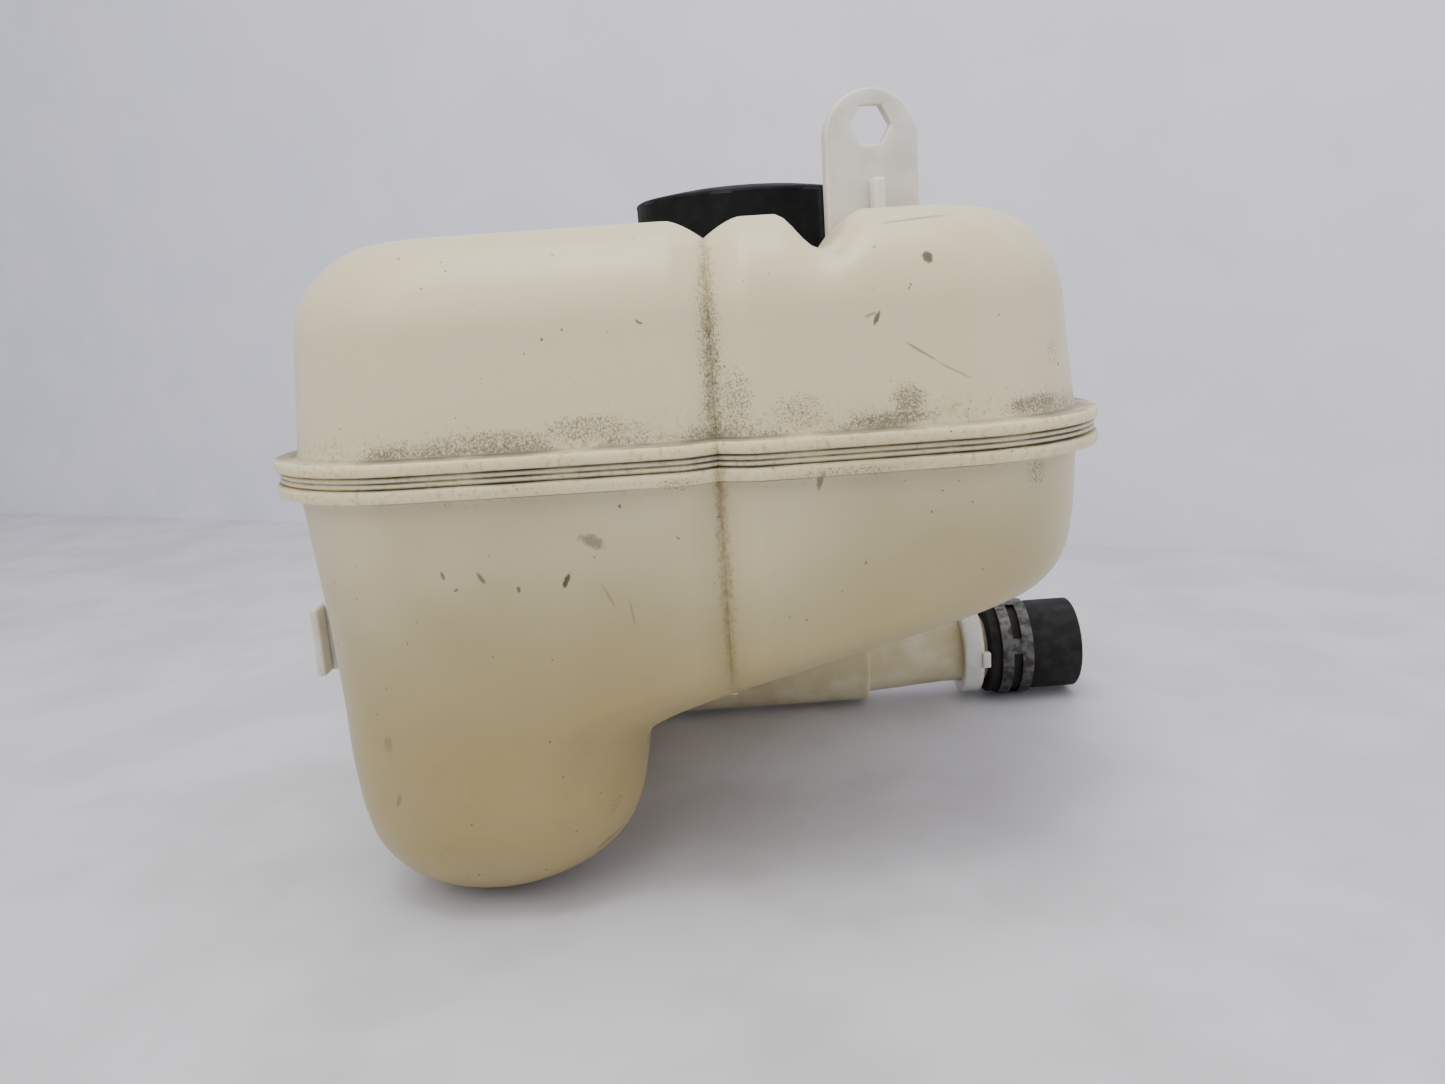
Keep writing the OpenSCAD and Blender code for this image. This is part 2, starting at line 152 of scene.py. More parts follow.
def loft(name: str, rings: list[Ring], closed: Corner = Corner.OPEN, crease: float = 35.0) -> Any:
    """Skins a list of closed rings that have the same number of points.

    Args:
        name: the piece's name.
        rings: arrays of points in millimetres.
        closed: LOOP joins the last ring to the first, OPEN caps both ends.
        crease: edges sharper than this many degrees stay sharp.

    Returns:
        The new object.
    """
    count = len(rings[0])
    total = len(rings)
    points = np.concatenate(rings)
    faces = []
    last = total if closed is Corner.LOOP else total - 1
    for i in range(last):
        low = i * count
        high = ((i + 1) % total) * count
        for j in range(count):
            k = (j + 1) % count
            faces.append((low + j, low + k, high + k, high + j))
    if closed is Corner.OPEN:
        faces.append(tuple(range(count))[::-1])
        faces.append(tuple((total - 1) * count + j for j in range(count)))
    return mesh_piece(name, points.tolist(), faces, crease)


def turned(
    name: str,
    profile: Sequence[tuple[float, float]],
    centre: Matrix,
    steps: int = 96,
    shape: Callable[[float, float, float], float] | None = None,
    crease: float = 35.0,
) -> Any:
    """Turns a closed profile about an axis.

    Args:
        name: the piece's name.
        profile: radius and height pairs round the section, closed by itself.
        centre: places the local Z axis, in millimetres.
        steps: points round the axis.
        shape: gives a new radius from angle, radius and height.
        crease: edges sharper than this many degrees stay sharp.

    Returns:
        The new object.
    """
    rings = []
    for step in range(steps):
        angle = 2 * math.pi * step / steps
        ring = []
        for radius, height in profile:
            r = shape(angle, radius, height) if shape else radius
            ring.append(centre @ Vector((r * math.cos(angle), r * math.sin(angle), height)))
        rings.append(np.array([tuple(p) for p in ring]))
    return loft(name, rings, Corner.LOOP, crease)


def rounded(
    points: Sequence[tuple[float, float]], radius: float, steps: int = 4
) -> list[tuple[float, float]]:
    """Rounds every corner of a closed outline.

    Args:
        points: the outline's corners.
        radius: the largest rounding, cut down on short sides.
        steps: pieces in each rounded corner.

    Returns:
        The rounded outline.
    """
    out = []
    count = len(points)
    for i, here in enumerate(points):
        before = Vector(points[i - 1])
        after = Vector(points[(i + 1) % count])
        p = Vector(here)
        cut = min(radius, (before - p).length * 0.45, (after - p).length * 0.45)
        a = p + (before - p).normalized() * cut
        b = p + (after - p).normalized() * cut
        for k in range(steps + 1):
            t = k / steps
            q = a * (1 - t) ** 2 + p * 2 * t * (1 - t) + b * t * t
            out.append((q.x, q.y))
    return out


def tube_profile(
    outer: float, inner: float, low: float, high: float, edge: float
) -> list[tuple[float, float]]:
    """Gives the rounded section of a ring.

    Args:
        outer: outer radius.
        inner: inner radius.
        low: lower height.
        high: upper height.
        edge: rounding of its edges.

    Returns:
        A closed profile for turned().
    """
    return rounded([(inner, low), (outer, low), (outer, high), (inner, high)], edge)


def slab(
    name: str, outline: Sequence[tuple[float, float]], thick: float, place: Matrix, bevel: float,
    hole: Sequence[tuple[float, float]] = (),
) -> Any:
    """Makes a flat plate from an outline, with a hole and rounded edges.

    Args:
        name: the piece's name.
        outline: corners in the plate's own X and Z.
        thick: thickness along its own Y.
        place: moves it to the frame, in millimetres.
        bevel: rounding of the edges.
        hole: corners of a hole, or nothing.

    Returns:
        The new object.
    """
    work = bmesh.new()
    edges = []
    for loop in (outline, hole):
        verts = [work.verts.new((x, 0, z)) for x, z in loop]
        edges += [work.edges.new((verts[i - 1], verts[i])) for i in range(len(verts))]
    bmesh.ops.triangle_fill(work, edges=edges, use_beauty=True)
    grown = bmesh.ops.extrude_face_region(work, geom=work.faces[:])
    moved = [g for g in grown["geom"] if isinstance(g, bmesh.types.BMVert)]
    bmesh.ops.translate(work, verts=moved, vec=(0, thick, 0))
    bmesh.ops.recalc_face_normals(work, faces=work.faces)
    flat = [f for f in work.faces if abs(f.normal.y) > 0.9]
    bmesh.ops.dissolve_faces(work, faces=[f for f in flat if not hole])
    sharp = [e for e in work.edges if len(e.link_faces) == 2 and e.calc_face_angle(0) > 1.0]
    if bevel:
        bmesh.ops.bevel(work, geom=sharp, offset=bevel, segments=3, profile=0.5, affect="EDGES")
    for v in work.verts:
        v.co = (place @ v.co) * MM
    mesh = bpy.data.meshes.new(name)
    work.to_mesh(mesh)
    work.free()
    smooth(mesh)
    piece = bpy.data.objects.new(name, mesh)
    bpy.context.scene.collection.objects.link(piece)
    return piece


def block(name: str, low: Sequence[float], high: Sequence[float], place: Matrix, bevel: float) -> Any:
    """Makes a box with rounded edges.

    Args:
        name: the piece's name.
        low: lowest corner.
        high: highest corner.
        place: moves it to the frame, in millimetres.
        bevel: rounding of the edges.

    Returns:
        The new object.
    """
    outline = [(low[0], low[2]), (high[0], low[2]), (high[0], high[2]), (low[0], high[2])]
    return slab(name, outline, high[1] - low[1], place @ Matrix.Translation((0, low[1], 0)), bevel)


def joined(name: str, pieces: list) -> Any:
    """Joins pieces into the first one.

    Args:
        name: the joined piece's name.
        pieces: objects with meshes.

    Returns:
        The joined object.
    """
    work = bmesh.new()
    for piece in pieces:
        work.from_mesh(piece.data)
    keep = pieces[0]
    work.to_mesh(keep.data)
    work.free()
    for piece in pieces[1:]:
        bpy.data.objects.remove(piece)
    keep.name = name
    keep.data.name = name
    smooth(keep.data)
    return keep


def cut(piece: Any, cutters: list) -> None:
    """Cuts other objects out of a piece and removes them.

    Args:
        piece: the object to cut.
        cutters: closed objects.
    """
    for cutter in cutters:
        step = piece.modifiers.new("cut", "BOOLEAN")
        step.operation = "DIFFERENCE"
        step.solver = "EXACT"
        step.object = cutter
    graph = bpy.context.evaluated_depsgraph_get()
    made = bpy.data.meshes.new_from_object(piece.evaluated_get(graph))
    piece.modifiers.clear()
    old = piece.data
    name = old.name
    piece.data = made
    bpy.data.meshes.remove(old)
    made.name = name
    for cutter in cutters:
        bpy.data.objects.remove(cutter)
    smooth(made)


def coil(name: str, centre: Matrix, mean: float, wire: float, low: float, high: float, turns: int) -> Any:
    """Winds a compression spring with closed ends.

    Args:
        name: the piece's name.
        centre: places the local Z axis, in millimetres.
        mean: mean radius.
        wire: wire radius.
        low: lower end.
        high: upper end.
        turns: number of turns.

    Returns:
        The new object.
    """
    steps = 28
    sides = 10
    rise = high - low - 2 * wire
    rings = []
    for k in range(turns * steps + 1):
        t = k / (turns * steps)
        z = low + wire + rise * (
            0.35 * float(ease((t - 0.08) / 0.84)) + 0.65 * min(1, max(0, (t - 0.1) / 0.8))
        )
        a = 2 * math.pi * k / steps
        ring = []
        for s in range(sides):
            b = 2 * math.pi * s / sides
            r = mean + wire * math.cos(b)
            ring.append(tuple(centre @ Vector((r * math.cos(a), r * math.sin(a), z + wire * math.sin(b)))))
        rings.append(np.array(ring))
    return loft(name, rings)


def thread(
    name: str, centre: Matrix, root: float, crest: float, halves: tuple[float, float],
    low: float, pitch: float, turns: float,
) -> Any:
    """Winds a screw thread's ridge.

    Args:
        name: the piece's name.
        centre: places the local Z axis, in millimetres.
        root: radius of the root.
        crest: radius of the crest.
        halves: half heights at the root and the crest.
        low: height where it starts.
        pitch: rise in one turn.
        turns: number of turns.

    Returns:
        The new object.
    """
    steps = 48
    count = round(steps * turns)
    rings = []
    for k in range(count + 1):
        a = 2 * math.pi * k / steps
        z = low + pitch * k / steps
        fade = max(0.12, float(ease(min(k, count - k) / 5)))
        r = root + (crest - root) * fade
        section = [(root, z - halves[0]), (root, z + halves[0]), (r, z + halves[1]), (r, z - halves[1])]
        rings.append(
            np.array([tuple(centre @ Vector((q * math.cos(a), q * math.sin(a), h))) for q, h in section])
        )
    return loft(name, rings)


# ------------------------------------------------------------------- finishes


# the setting that a node's option sets, which follows the dot in its kind
OPTIONS = {
    "Math": "operation", "VectorMath": "operation", "MapRange": "interpolation_type", "Mix": "data_type"
}
# a smooth step: the value, the two values it runs between, and the two results
RAMP = "MapRange.SMOOTHSTEP"
# where a colour mix gives its result; every other node's is the first
COLOUR_RESULT = 2


@dataclass
class Graph:
    """A material's node tree while it is built."""

    material: Any

    def __post_init__(self) -> None:
        """Clears the material's node tree."""
        self.material.use_nodes = True
        self.tree = self.material.node_tree
        self.tree.nodes.clear()

    def add(self, kind: str, *values: Any, use_clamp: bool = False, **inputs: Any) -> Any:
        """Adds one node with its settings and links.

        Args:
            kind: the node's type without the ShaderNode prefix, with its option after a dot.
            values: its first inputs in order, each a value or another node's result.
            use_clamp: keeps a calculation between 0 and 1.
            inputs: other inputs by name, with spaces as underscores, or by i and a number.

        Returns:
            The node's result, or None from the node that ends the material.
        """
        kind, _, option = kind.partition(".")
        node = self.tree.nodes.new("ShaderNode" + kind)
        if option:
            setattr(node, OPTIONS[kind], option)
        if use_clamp:
            node.use_clamp = True
        wanted = list(enumerate(values))
        for key, value in inputs.items():
            numbered = key[0] == "i" and key[1:].isdigit()
            wanted.append((int(key[1:]) if numbered else key.replace("_", " "), value))
        for key, value in wanted:
            if isinstance(value, bpy.types.NodeSocket):
                self.tree.links.new(value, node.inputs[key])
            else:
                node.inputs[key].default_value = value
        if not node.outputs:
            return None
        return node.outputs[COLOUR_RESULT if kind == "Mix" else 0]


@dataclass(frozen=True)
class Finish:
    """A finish with a colour, fine mottling and fine relief."""

    name: str
    colour: str
    second: str
    roughness: float
    metallic: float = 0.0
    ior: float = 1.5
    grain: float = 6.0
    relief: float = 0.02
    relief_size: float = 0.6
    see_through: float = 0.0
    inside: float = 0.0
    gloss: float = 0.5
    one_sided: bool = False

    def build(self, shift: Vector) -> Any:
        """Makes the material.

        Args:
            shift: the tank's place in the frame, in millimetres.

        Returns:
            The new material.
        """
        material = bpy.data.materials.new(self.name)
        graph = Graph(material)
        place = millimetres(graph, shift)
        # mottling of a few millimetres, and relief well under one
        tone = graph.add(
            RAMP, graph.add("TexNoise", place, Scale=1 / self.grain, Detail=3.0, Roughness=0.55), 0.4, 0.62
        )
        colour = graph.add("Mix.RGBA", tone, i6=linear(self.colour), i7=linear(self.second))
        bump = graph.add(
            "Bump", Strength=0.35, Distance=self.relief * MM,
            Height=graph.add("TexNoise", place, Scale=1 / self.relief_size, Detail=3.0, Roughness=0.55)
        )
        rough = graph.add(
            RAMP, graph.add("TexNoise", place, Scale=1 / (self.grain * 1.7), Detail=3.0, Roughness=0.55),
            0.35, 0.65, self.roughness - 0.05, self.roughness + 0.07
        )
        inputs = {"Base_Color": colour, "Roughness": rough, "Metallic": self.metallic, "Normal": bump}
        if self.metallic < 0.5:
            inputs["IOR"] = self.ior
            inputs["Specular_IOR_Level"] = self.gloss
        if self.see_through:
            inputs["Transmission_Weight"] = self.see_through
        if self.inside:
            inputs["Subsurface_Weight"] = self.inside
            inputs["Subsurface_Radius"] = (1.0, 0.85, 0.6)
            inputs["Subsurface_Scale"] = 0.003
        shader = graph.add("BsdfPrincipled", **inputs)
        if self.one_sided:
            # seen through from behind, so the tank can be looked at from all round
            back = graph.add("NewGeometry").node.outputs["Backfacing"]
            clear = graph.add("BsdfTransparent")
            shader = graph.add("MixShader", back, shader, clear)
        graph.add("OutputMaterial", shader)
        return material


def millimetres(graph: Graph, shift: Vector) -> Any:
    """Gives object coordinates in millimetres from the middle of the rim.

    Args:
        graph: the material's graph.
        shift: the tank's place in the frame, in millimetres.

    Returns:
        The output socket.
    """
    raw = graph.add("TexCoord").node.outputs["Object"]
    return graph.add("VectorMath.MULTIPLY_ADD", raw, (1000, 1000, 1000), tuple(-shift))


@dataclass(frozen=True)
class Mark:
    """A small mark, by its place on the front and its size."""

    x: float
    z: float
    wide: float
    high: float
    turn: float
    strength: float


@dataclass(frozen=True)
class TankPlastic:
    """Natural polypropylene, stained by coolant and dusted along its seams, with painted shade lower down and
    in its creases.
    """

    name: str = "natural polypropylene"
    top: str = "DACCA8"
    middle: str = "B2A67E"
    low: str = "A39261"
    # colour of the dark dust and of the painted shade in the groove and the creases
    dust_and_shade: str = "4A3F2E"
    ochre: str = "94835A"
    marks: tuple[Mark, ...] = ()
    patches: tuple[Mark, ...] = ()

    def build(self, shift: Vector) -> Any:
        """Makes the material.

        Args:
            shift: the tank's place in the frame, in millimetres.

        Returns:
            The new material.
        """
        material = bpy.data.materials.new(self.name)
        graph = Graph(material)
        place = millimetres(graph, shift)
        x, y, z = graph.add("SeparateXYZ", place).node.outputs
        # cloudy unevenness of about 60 mm, so the edge between the darker lower part and the lighter top
        # isn't level
        cloud = graph.add("TexNoise", place, Scale=1 / 60.0, Detail=2.0, Roughness=0.55)
        level = graph.add(
            "Math.ADD", z, graph.add("Math.MULTIPLY", graph.add("Math.SUBTRACT", cloud, 0.5), 50.0)
        )
        # partly coolant stain, partly painted shade and light: the colour darkens from the lighter top down
        # to the sump, as light from above falls through the plastic
        colour = graph.add(
            "Mix.RGBA", graph.add(RAMP, level, 55.0, 100.0), i6=linear(self.low), i7=linear(self.middle)
        )
        colour = graph.add("Mix.RGBA", graph.add(RAMP, level, 84.0, 128.0), i6=colour, i7=linear(self.top))
        # faint darker flecks of about 8 mm low down, fading out above 70 mm of height
        fleck = graph.add(
            "Math.MULTIPLY",
            graph.add(
                RAMP, graph.add("TexNoise", place, Scale=1 / 8.0, Detail=3.0, Roughness=0.55), 0.5, 0.72
            ),
            graph.add(RAMP, z, 70.0, 50.0, 0.0, 0.1)
        )
        colour = graph.add("Mix.RGBA", fleck, i6=colour, i7=linear("7E6F45"))
        # dark dust, and painted shade in the groove and in the creases of the weld and the rim
        dust_and_shade = self.dust_and_shade_amount(graph, place, x, y, z)
        colour = graph.add(
            "Mix.RGBA", self.ochre_amount(graph, place, x, z), i6=colour, i7=linear(self.ochre)
        )
        colour = graph.add("Mix.RGBA", dust_and_shade, i6=colour, i7=linear(self.dust_and_shade))
        bump = graph.add(
            "Bump", Strength=0.4, Distance=0.03 * MM, Height=graph.add(
                "TexNoise", place, Scale=1 / 1.2, Detail=3.0, Roughness=0.55
            )
        )
        # slow ripples of moulded plastic, about 40 mm long
        wave = graph.add(
            "Bump", Strength=0.4, Distance=0.4 * MM, Height=graph.add(
                "TexNoise", place, Scale=1 / 42.0, Detail=0.0, Roughness=0.55
            ),
            Normal=bump,
        )
        rough = graph.add(
            "Math.ADD",
            graph.add(
                RAMP, graph.add("TexNoise", place, Scale=1 / 12.0, Detail=3.0, Roughness=0.55), 0.3, 0.7,
                0.31, 0.36
            ),
            graph.add("Math.MULTIPLY", dust_and_shade, 0.3), use_clamp=True
        )
        shader = graph.add(
            "BsdfPrincipled", Base_Color=colour, Roughness=rough, IOR=1.49, Normal=wave,
            Subsurface_Weight=0.75, Subsurface_Radius=(1.0, 0.8, 0.45), Subsurface_Scale=0.006,
        )
        graph.add("OutputMaterial", shader)
        return material

    def dust_and_shade_amount(self, graph: Graph, place: Any, x: Any, y: Any, z: Any) -> Any:
        """Gives how much dark dust and painted shade lies at each point: dust on the rim and in patches,
        painted shade in the groove and in the creases of the weld and the rim.

        Args:
            graph: the material's graph.
            place: coordinates in millimetres.
            x: sideways place.
            y: depth place.
            z: height.

        Returns:
            The output socket.
        """
        grain = graph.add("TexNoise", place, Scale=1 / 0.55, Detail=4.0, Roughness=0.75)
        some = graph.add(
            RAMP, graph.add("TexNoise", place, Scale=1 / 24.0, Detail=3.0, Roughness=0.55), 0.36, 0.62, 0.25,
            1.0
        )
        # dust lies thick on the rim and thins out over 9 mm above it
        band = graph.add(
            "Math.MULTIPLY", graph.add(RAMP, z, 125.4, 135.0, 1.0, 0.0),
            graph.add("Math.GREATER_THAN", z, 125.3)
        )
        wanted = graph.add("Math.MULTIPLY", graph.add("Math.MULTIPLY", band, some), 0.34)
        # painted shade in the bottom of the groove, above the rim
        side = graph.add("Math.ABSOLUTE", graph.add("Math.SUBTRACT", x, 7.2))
        groove = graph.add(
            "Math.MULTIPLY", graph.add(RAMP, side, 0.5, 6.5, 1.0, 0.0), graph.add(RAMP, z, 178.0, 150.0)
        )
        groove = graph.add(
            "Math.MULTIPLY", graph.add("Math.MULTIPLY", groove, graph.add("Math.GREATER_THAN", z, 125.3)),
            0.25
        )
        wanted = graph.add("Math.MAXIMUM", wanted, groove)
        for patch in self.patches:
            cover = graph.add("Math.SUBTRACT", 1.15, self.distance(graph, patch, x, z), use_clamp=True)
            cover = graph.add("Math.MULTIPLY", cover, graph.add("Math.LESS_THAN", y, -20.0))
            wanted = graph.add("Math.MAXIMUM", wanted, graph.add("Math.MULTIPLY", cover, patch.strength))
        total = graph.add(RAMP, graph.add("Math.ADD", wanted, grain), 0.68, 0.86, 0.0, 0.7)
        # painted shade: thin dark lines in the creases along the weld and in both corners of the rim, broken
        # up by the dust noise
        for line in (119.3, 120.75, 122.2, 125.7, 115.7):
            near = graph.add(
                RAMP, graph.add("Math.ABSOLUTE", graph.add("Math.SUBTRACT", z, line)), 0.1, 0.55, 1.0, 0.0
            )
            total = graph.add(
                "Math.MAXIMUM", total,
                graph.add("Math.MULTIPLY", graph.add("Math.MULTIPLY", near, some), 0.85)
            )
        # sparse specks of about half a millimetre
        speck = graph.add(
            RAMP, graph.add("TexNoise", place, Scale=1 / 1.9, Detail=1.0, Roughness=0.55), 0.765, 0.8, 0.0,
            0.75
        )
        total = graph.add("Math.MAXIMUM", total, speck)
        # marks are broken up by the dust's grain and by patches of about 4 mm
        broken = graph.add(
            "Math.ADD", graph.add("Math.MULTIPLY", grain, 0.5),
            graph.add(
                "Math.MULTIPLY", graph.add("TexNoise", place, Scale=1 / 4.0, Detail=2.0, Roughness=0.55), 0.5
            )
        )
        for mark in self.marks:
            total = graph.add("Math.MAXIMUM", total, self.mark_amount(graph, mark, broken, x, y, z))
        return total

    def mark_amount(self, graph: Graph, mark: Mark, grain: Any, x: Any, y: Any, z: Any) -> Any:
        """Gives one mark's cover on the front side.

        Args:
            graph: the material's graph.
            mark: the mark.
            grain: fine noise that breaks up its edge.
            x: sideways place.
            y: depth place.
            z: height.

        Returns:
            The output socket.
        """
        away = self.distance(graph, mark, x, z)
        near = graph.add(
            "Math.ADD", away, graph.add("Math.MULTIPLY", graph.add("Math.SUBTRACT", grain, 0.5), 3.6)
        )
        front = graph.add("Math.LESS_THAN", y, -20.0)
        return graph.add("Math.MULTIPLY", graph.add(RAMP, near, 0.3, 1.1, mark.strength, 0.0), front)

    def distance(self, graph: Graph, mark: Mark, x: Any, z: Any) -> Any:
        """Gives the distance from a mark's middle, squared, which is 1 at its edge.

        Args:
            graph: the material's graph.
            mark: the mark.
            x: sideways place.
            z: height.

        Returns:
            The output socket.
        """
        turn = math.radians(mark.turn)
        dx = graph.add("Math.SUBTRACT", x, mark.x)
        dz = graph.add("Math.SUBTRACT", z, mark.z)
        along = graph.add(
            "Math.ADD", graph.add("Math.MULTIPLY", dx, math.cos(turn)),
            graph.add("Math.MULTIPLY", dz, math.sin(turn))
        )
        across = graph.add(
            "Math.SUBTRACT", graph.add("Math.MULTIPLY", dz, math.cos(turn)),
            graph.add("Math.MULTIPLY", dx, math.sin(turn))
        )
        first = graph.add("Math.DIVIDE", along, mark.wide)
        second = graph.add("Math.DIVIDE", across, mark.high)
        return graph.add(
            "Math.ADD", graph.add("Math.MULTIPLY", first, first), graph.add("Math.MULTIPLY", second, second)
        )

    def ochre_amount(self, graph: Graph, place: Any, x: Any, z: Any) -> Any:
        """Gives how much pale brown grime lies on the rim's band, and how much painted shade lies in the
        groove.

        Args:
            graph: the material's graph.
            place: coordinates in millimetres.
            x: sideways place.
            z: height.

        Returns:
            The output socket.
        """
        grain = graph.add("TexNoise", place, Scale=1 / 1.6, Detail=4.0, Roughness=0.7)
        # painted shade: a pale brown line in the bottom of the groove
        side = graph.add("Math.ABSOLUTE", graph.add("Math.SUBTRACT", x, 7.5))
        line = graph.add(RAMP, side, 0.6, 3.6, 1.0, 0.0)
        under = graph.add(RAMP, z, 108.0, 118.0, 0.0, 0.6)
        over = graph.add(RAMP, z, 126.0, 140.0, 0.7, 0.0)
        seam = graph.add("Math.MINIMUM", under, over)
        want = graph.add("Math.MAXIMUM", line, seam)
        return graph.add(
            RAMP, graph.add("Math.ADD", graph.add("Math.MULTIPLY", want, 0.3), grain), 0.66, 0.95, 0.0, 0.7
        )


@dataclass
class Workshop:
    """Makes each finish once and hands it to the pieces that use it."""

    shift: Vector
    made: dict[str, Any] = field(default_factory=dict)

    def material(self, finish: Any) -> Any:
        """Finds a finish's material, and makes it on first use.

        Args:
            finish: the finish.

        Returns:
            Its material.
        """
        if finish.name not in self.made:
            self.made[finish.name] = finish.build(self.shift)
        return self.made[finish.name]

    def place(self, piece: Any, body: str, node: str, slot: str, finish: Any) -> Any:
        """Puts a finished piece into the frame.

        Args:
            piece: the object, still about the middle of the rim.
            body: the body it rides on.
            node: the CAD node it stands for.
            slot: the record's material slot; not used.
            finish: its finish.

        Returns:
            The piece.
        """
        piece.data.transform(Matrix.Translation(self.shift * MM))
        self.dress(piece, finish)
        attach(piece, body)
        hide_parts(node)
        return piece

    def dress(self, piece: Any, finish: Any) -> None:
        """Gives a piece its only material.

        Args:
            piece: the object.
            finish: its finish.
        """
        piece.data.materials.clear()
        piece.data.materials.append(self.material(finish))
        for face in piece.data.polygons:
            face.material_index = 0


# scuffs and splashes on the front, and one painted crease line near the top: sideways place, height, half
# sizes, turn, strength
MARKS = (
    Mark(58.7, 163.8, 1.3, 1.7, 30, 0.9), Mark(
        45.9, 150.6, 0.6, 1.9, -25, 0.85
    ), Mark(44.4, 151.6, 1.6, 0.4, 20, 0.5),
    Mark(
        56.0, 142.6, 5.0, 0.35, -33, 0.55
    ), Mark(64.0, 137.6, 5.0, 0.3, -28, 0.4), Mark(31.0, 115.0, 0.8, 3.2, -12, 0.6),
    Mark(
        -23.4, 103.9, 3.6, 1.8, -20, 0.55
    ), Mark(-30.3, 94.4, 0.8, 2.3, -25, 0.95), Mark(-59.7, 97.5, 0.6, 1.3, 15, 0.7),
    Mark(-50.6, 96.4, 0.7, 2.0, 30, 0.7), Mark(-41.9, 93.0, 0.6, 0.9, 0, 0.8), Mark(
        -20.6, 90.0, 0.4, 4.5, 25, 0.35
    ),
    Mark(-80.3, 53.3, 1.4, 2.2, 0, 0.3), Mark(
        -79.6, 38.0, 0.6, 2.6, -20, 0.4
    ), Mark(-28.0, 18.0, 4.5, 1.2, 25, 0.35),
    # the thin line at 58 across and 173 high is painted shade, the crease at the edge of a flat pad on the
    # top
    Mark(-15.4, 86.0, 0.25, 4.0, 8, 0.4), Mark(58.0, 173.0, 9.0, 0.35, 4, 0.4),
)
# patches of fine dust: sideways place, height, half sizes, turn, strength
PATCHES = (
    Mark(
        27.0, 131.0, 10.0, 6.5, 0, 0.22
    ), Mark(52.6, 132.0, 6.0, 5.0, 0, 0.3), Mark(48.0, 127.6, 16.0, 2.6, 3, 0.33),
    Mark(84.0, 128.4, 12.0, 3.2, 2, 0.32), Mark(84.2, 112.0, 4.0, 5.5, 0, 0.24), Mark(
        -22.0, 130.0, 15.0, 5.0, 0, 0.25
    ),
    Mark(
        -46.0, 128.6, 22.0, 3.6, 0, 0.27
    ), Mark(12.5, 134.0, 6.0, 12.0, 0, 0.24), Mark(-2.0, 116.5, 8.0, 3.0, 0, 0.22),
    Mark(36.0, 116.8, 22.0, 2.2, 0, 0.22), Mark(-25.6, 30.0, 2.4, 5.0, -25, 0.2), Mark(
        -18.0, 22.0, 5.0, 7.0, -30, 0.18
    ),
    Mark(90.0, 140.0, 3.0, 6.0, 0, 0.2),
)
NATURAL = TankPlastic(marks=MARKS, patches=PATCHES)
PIPE = Finish("clean natural polypropylene", "DCD3B4", "CEC29A", 0.42, ior=1.49, grain=14.0, inside=0.7)
PALE = Finish("clear grey polypropylene", "DAD8D1", "CECBC2", 0.38, ior=1.49, grain=9.0, inside=0.8)
BLACK = Finish(
    "black glass-filled nylon", "0B0E10", "111416", 0.62, ior=1.53, grain=4.0, relief=0.05, gloss=0.15
)
VALVE = Finish("dark nylon", "202427", "262B2E", 0.45, ior=1.53)
HOSE = Finish(
    "worn rubber hose", "100F0E", "211E1B", 0.7, ior=1.52, gloss=0.3, grain=5.0, relief=0.12, relief_size=1.4
)
SEAL = Finish("black seal rubber", "181818", "202020", 0.6, ior=1.52)
SPRING = Finish("dull zinc-plated spring steel", "6A6866", "46433F", 0.45, metallic=1.0, grain=3.0)
STAINLESS = Finish("stainless steel", "B4B5B7", "A3A4A6", 0.25, metallic=1.0)
BRASS = Finish("tinned brass", "BCAE82", "A99A6C", 0.3, metallic=1.0)
FILM = Finish("clear film", "E6E5DF", "DEDCD4", 0.2, ior=1.46, see_through=0.6)
FOAM = Finish("cork-coloured float foam", "B99F62", "A88D52", 0.7, relief=0.1)
FERRITE = Finish("sintered ferrite", "2B2B2E", "343437", 0.5)
GLASS = Finish("thin green glass", "CFE3D4", "C8DECD", 0.05, ior=1.52, see_through=1.0)

CARRIED: dict[str, Any] = {
    "slosh_wall": NATURAL, "filler_neck": NATURAL, "return_nipple": NATURAL, "outlet_duct": PIPE,
    "switch_boss": NATURAL, "outlet_pipe": PIPE, "cap_insert": VALVE, "neck_gasket": SEAL,
    "cap_seal": SEAL, "valve_seat": VALVE, "pressure_plate": STAINLESS, "pressure_seal": SEAL,
    "vacuum_valve": BRASS, "vacuum_seal": SEAL, "vacuum_collar": STAINLESS, "switch_body": BLACK,
    "reed_switch": GLASS, "switch_seal": SEAL, "switch_clip": SPRING, "terminals": BRASS,
    "float_arm": VALVE, "float_pin": STAINLESS, "level_float": FOAM, "float_magnet": FERRITE,
}


# ----------------------------------------------------------------- the tank


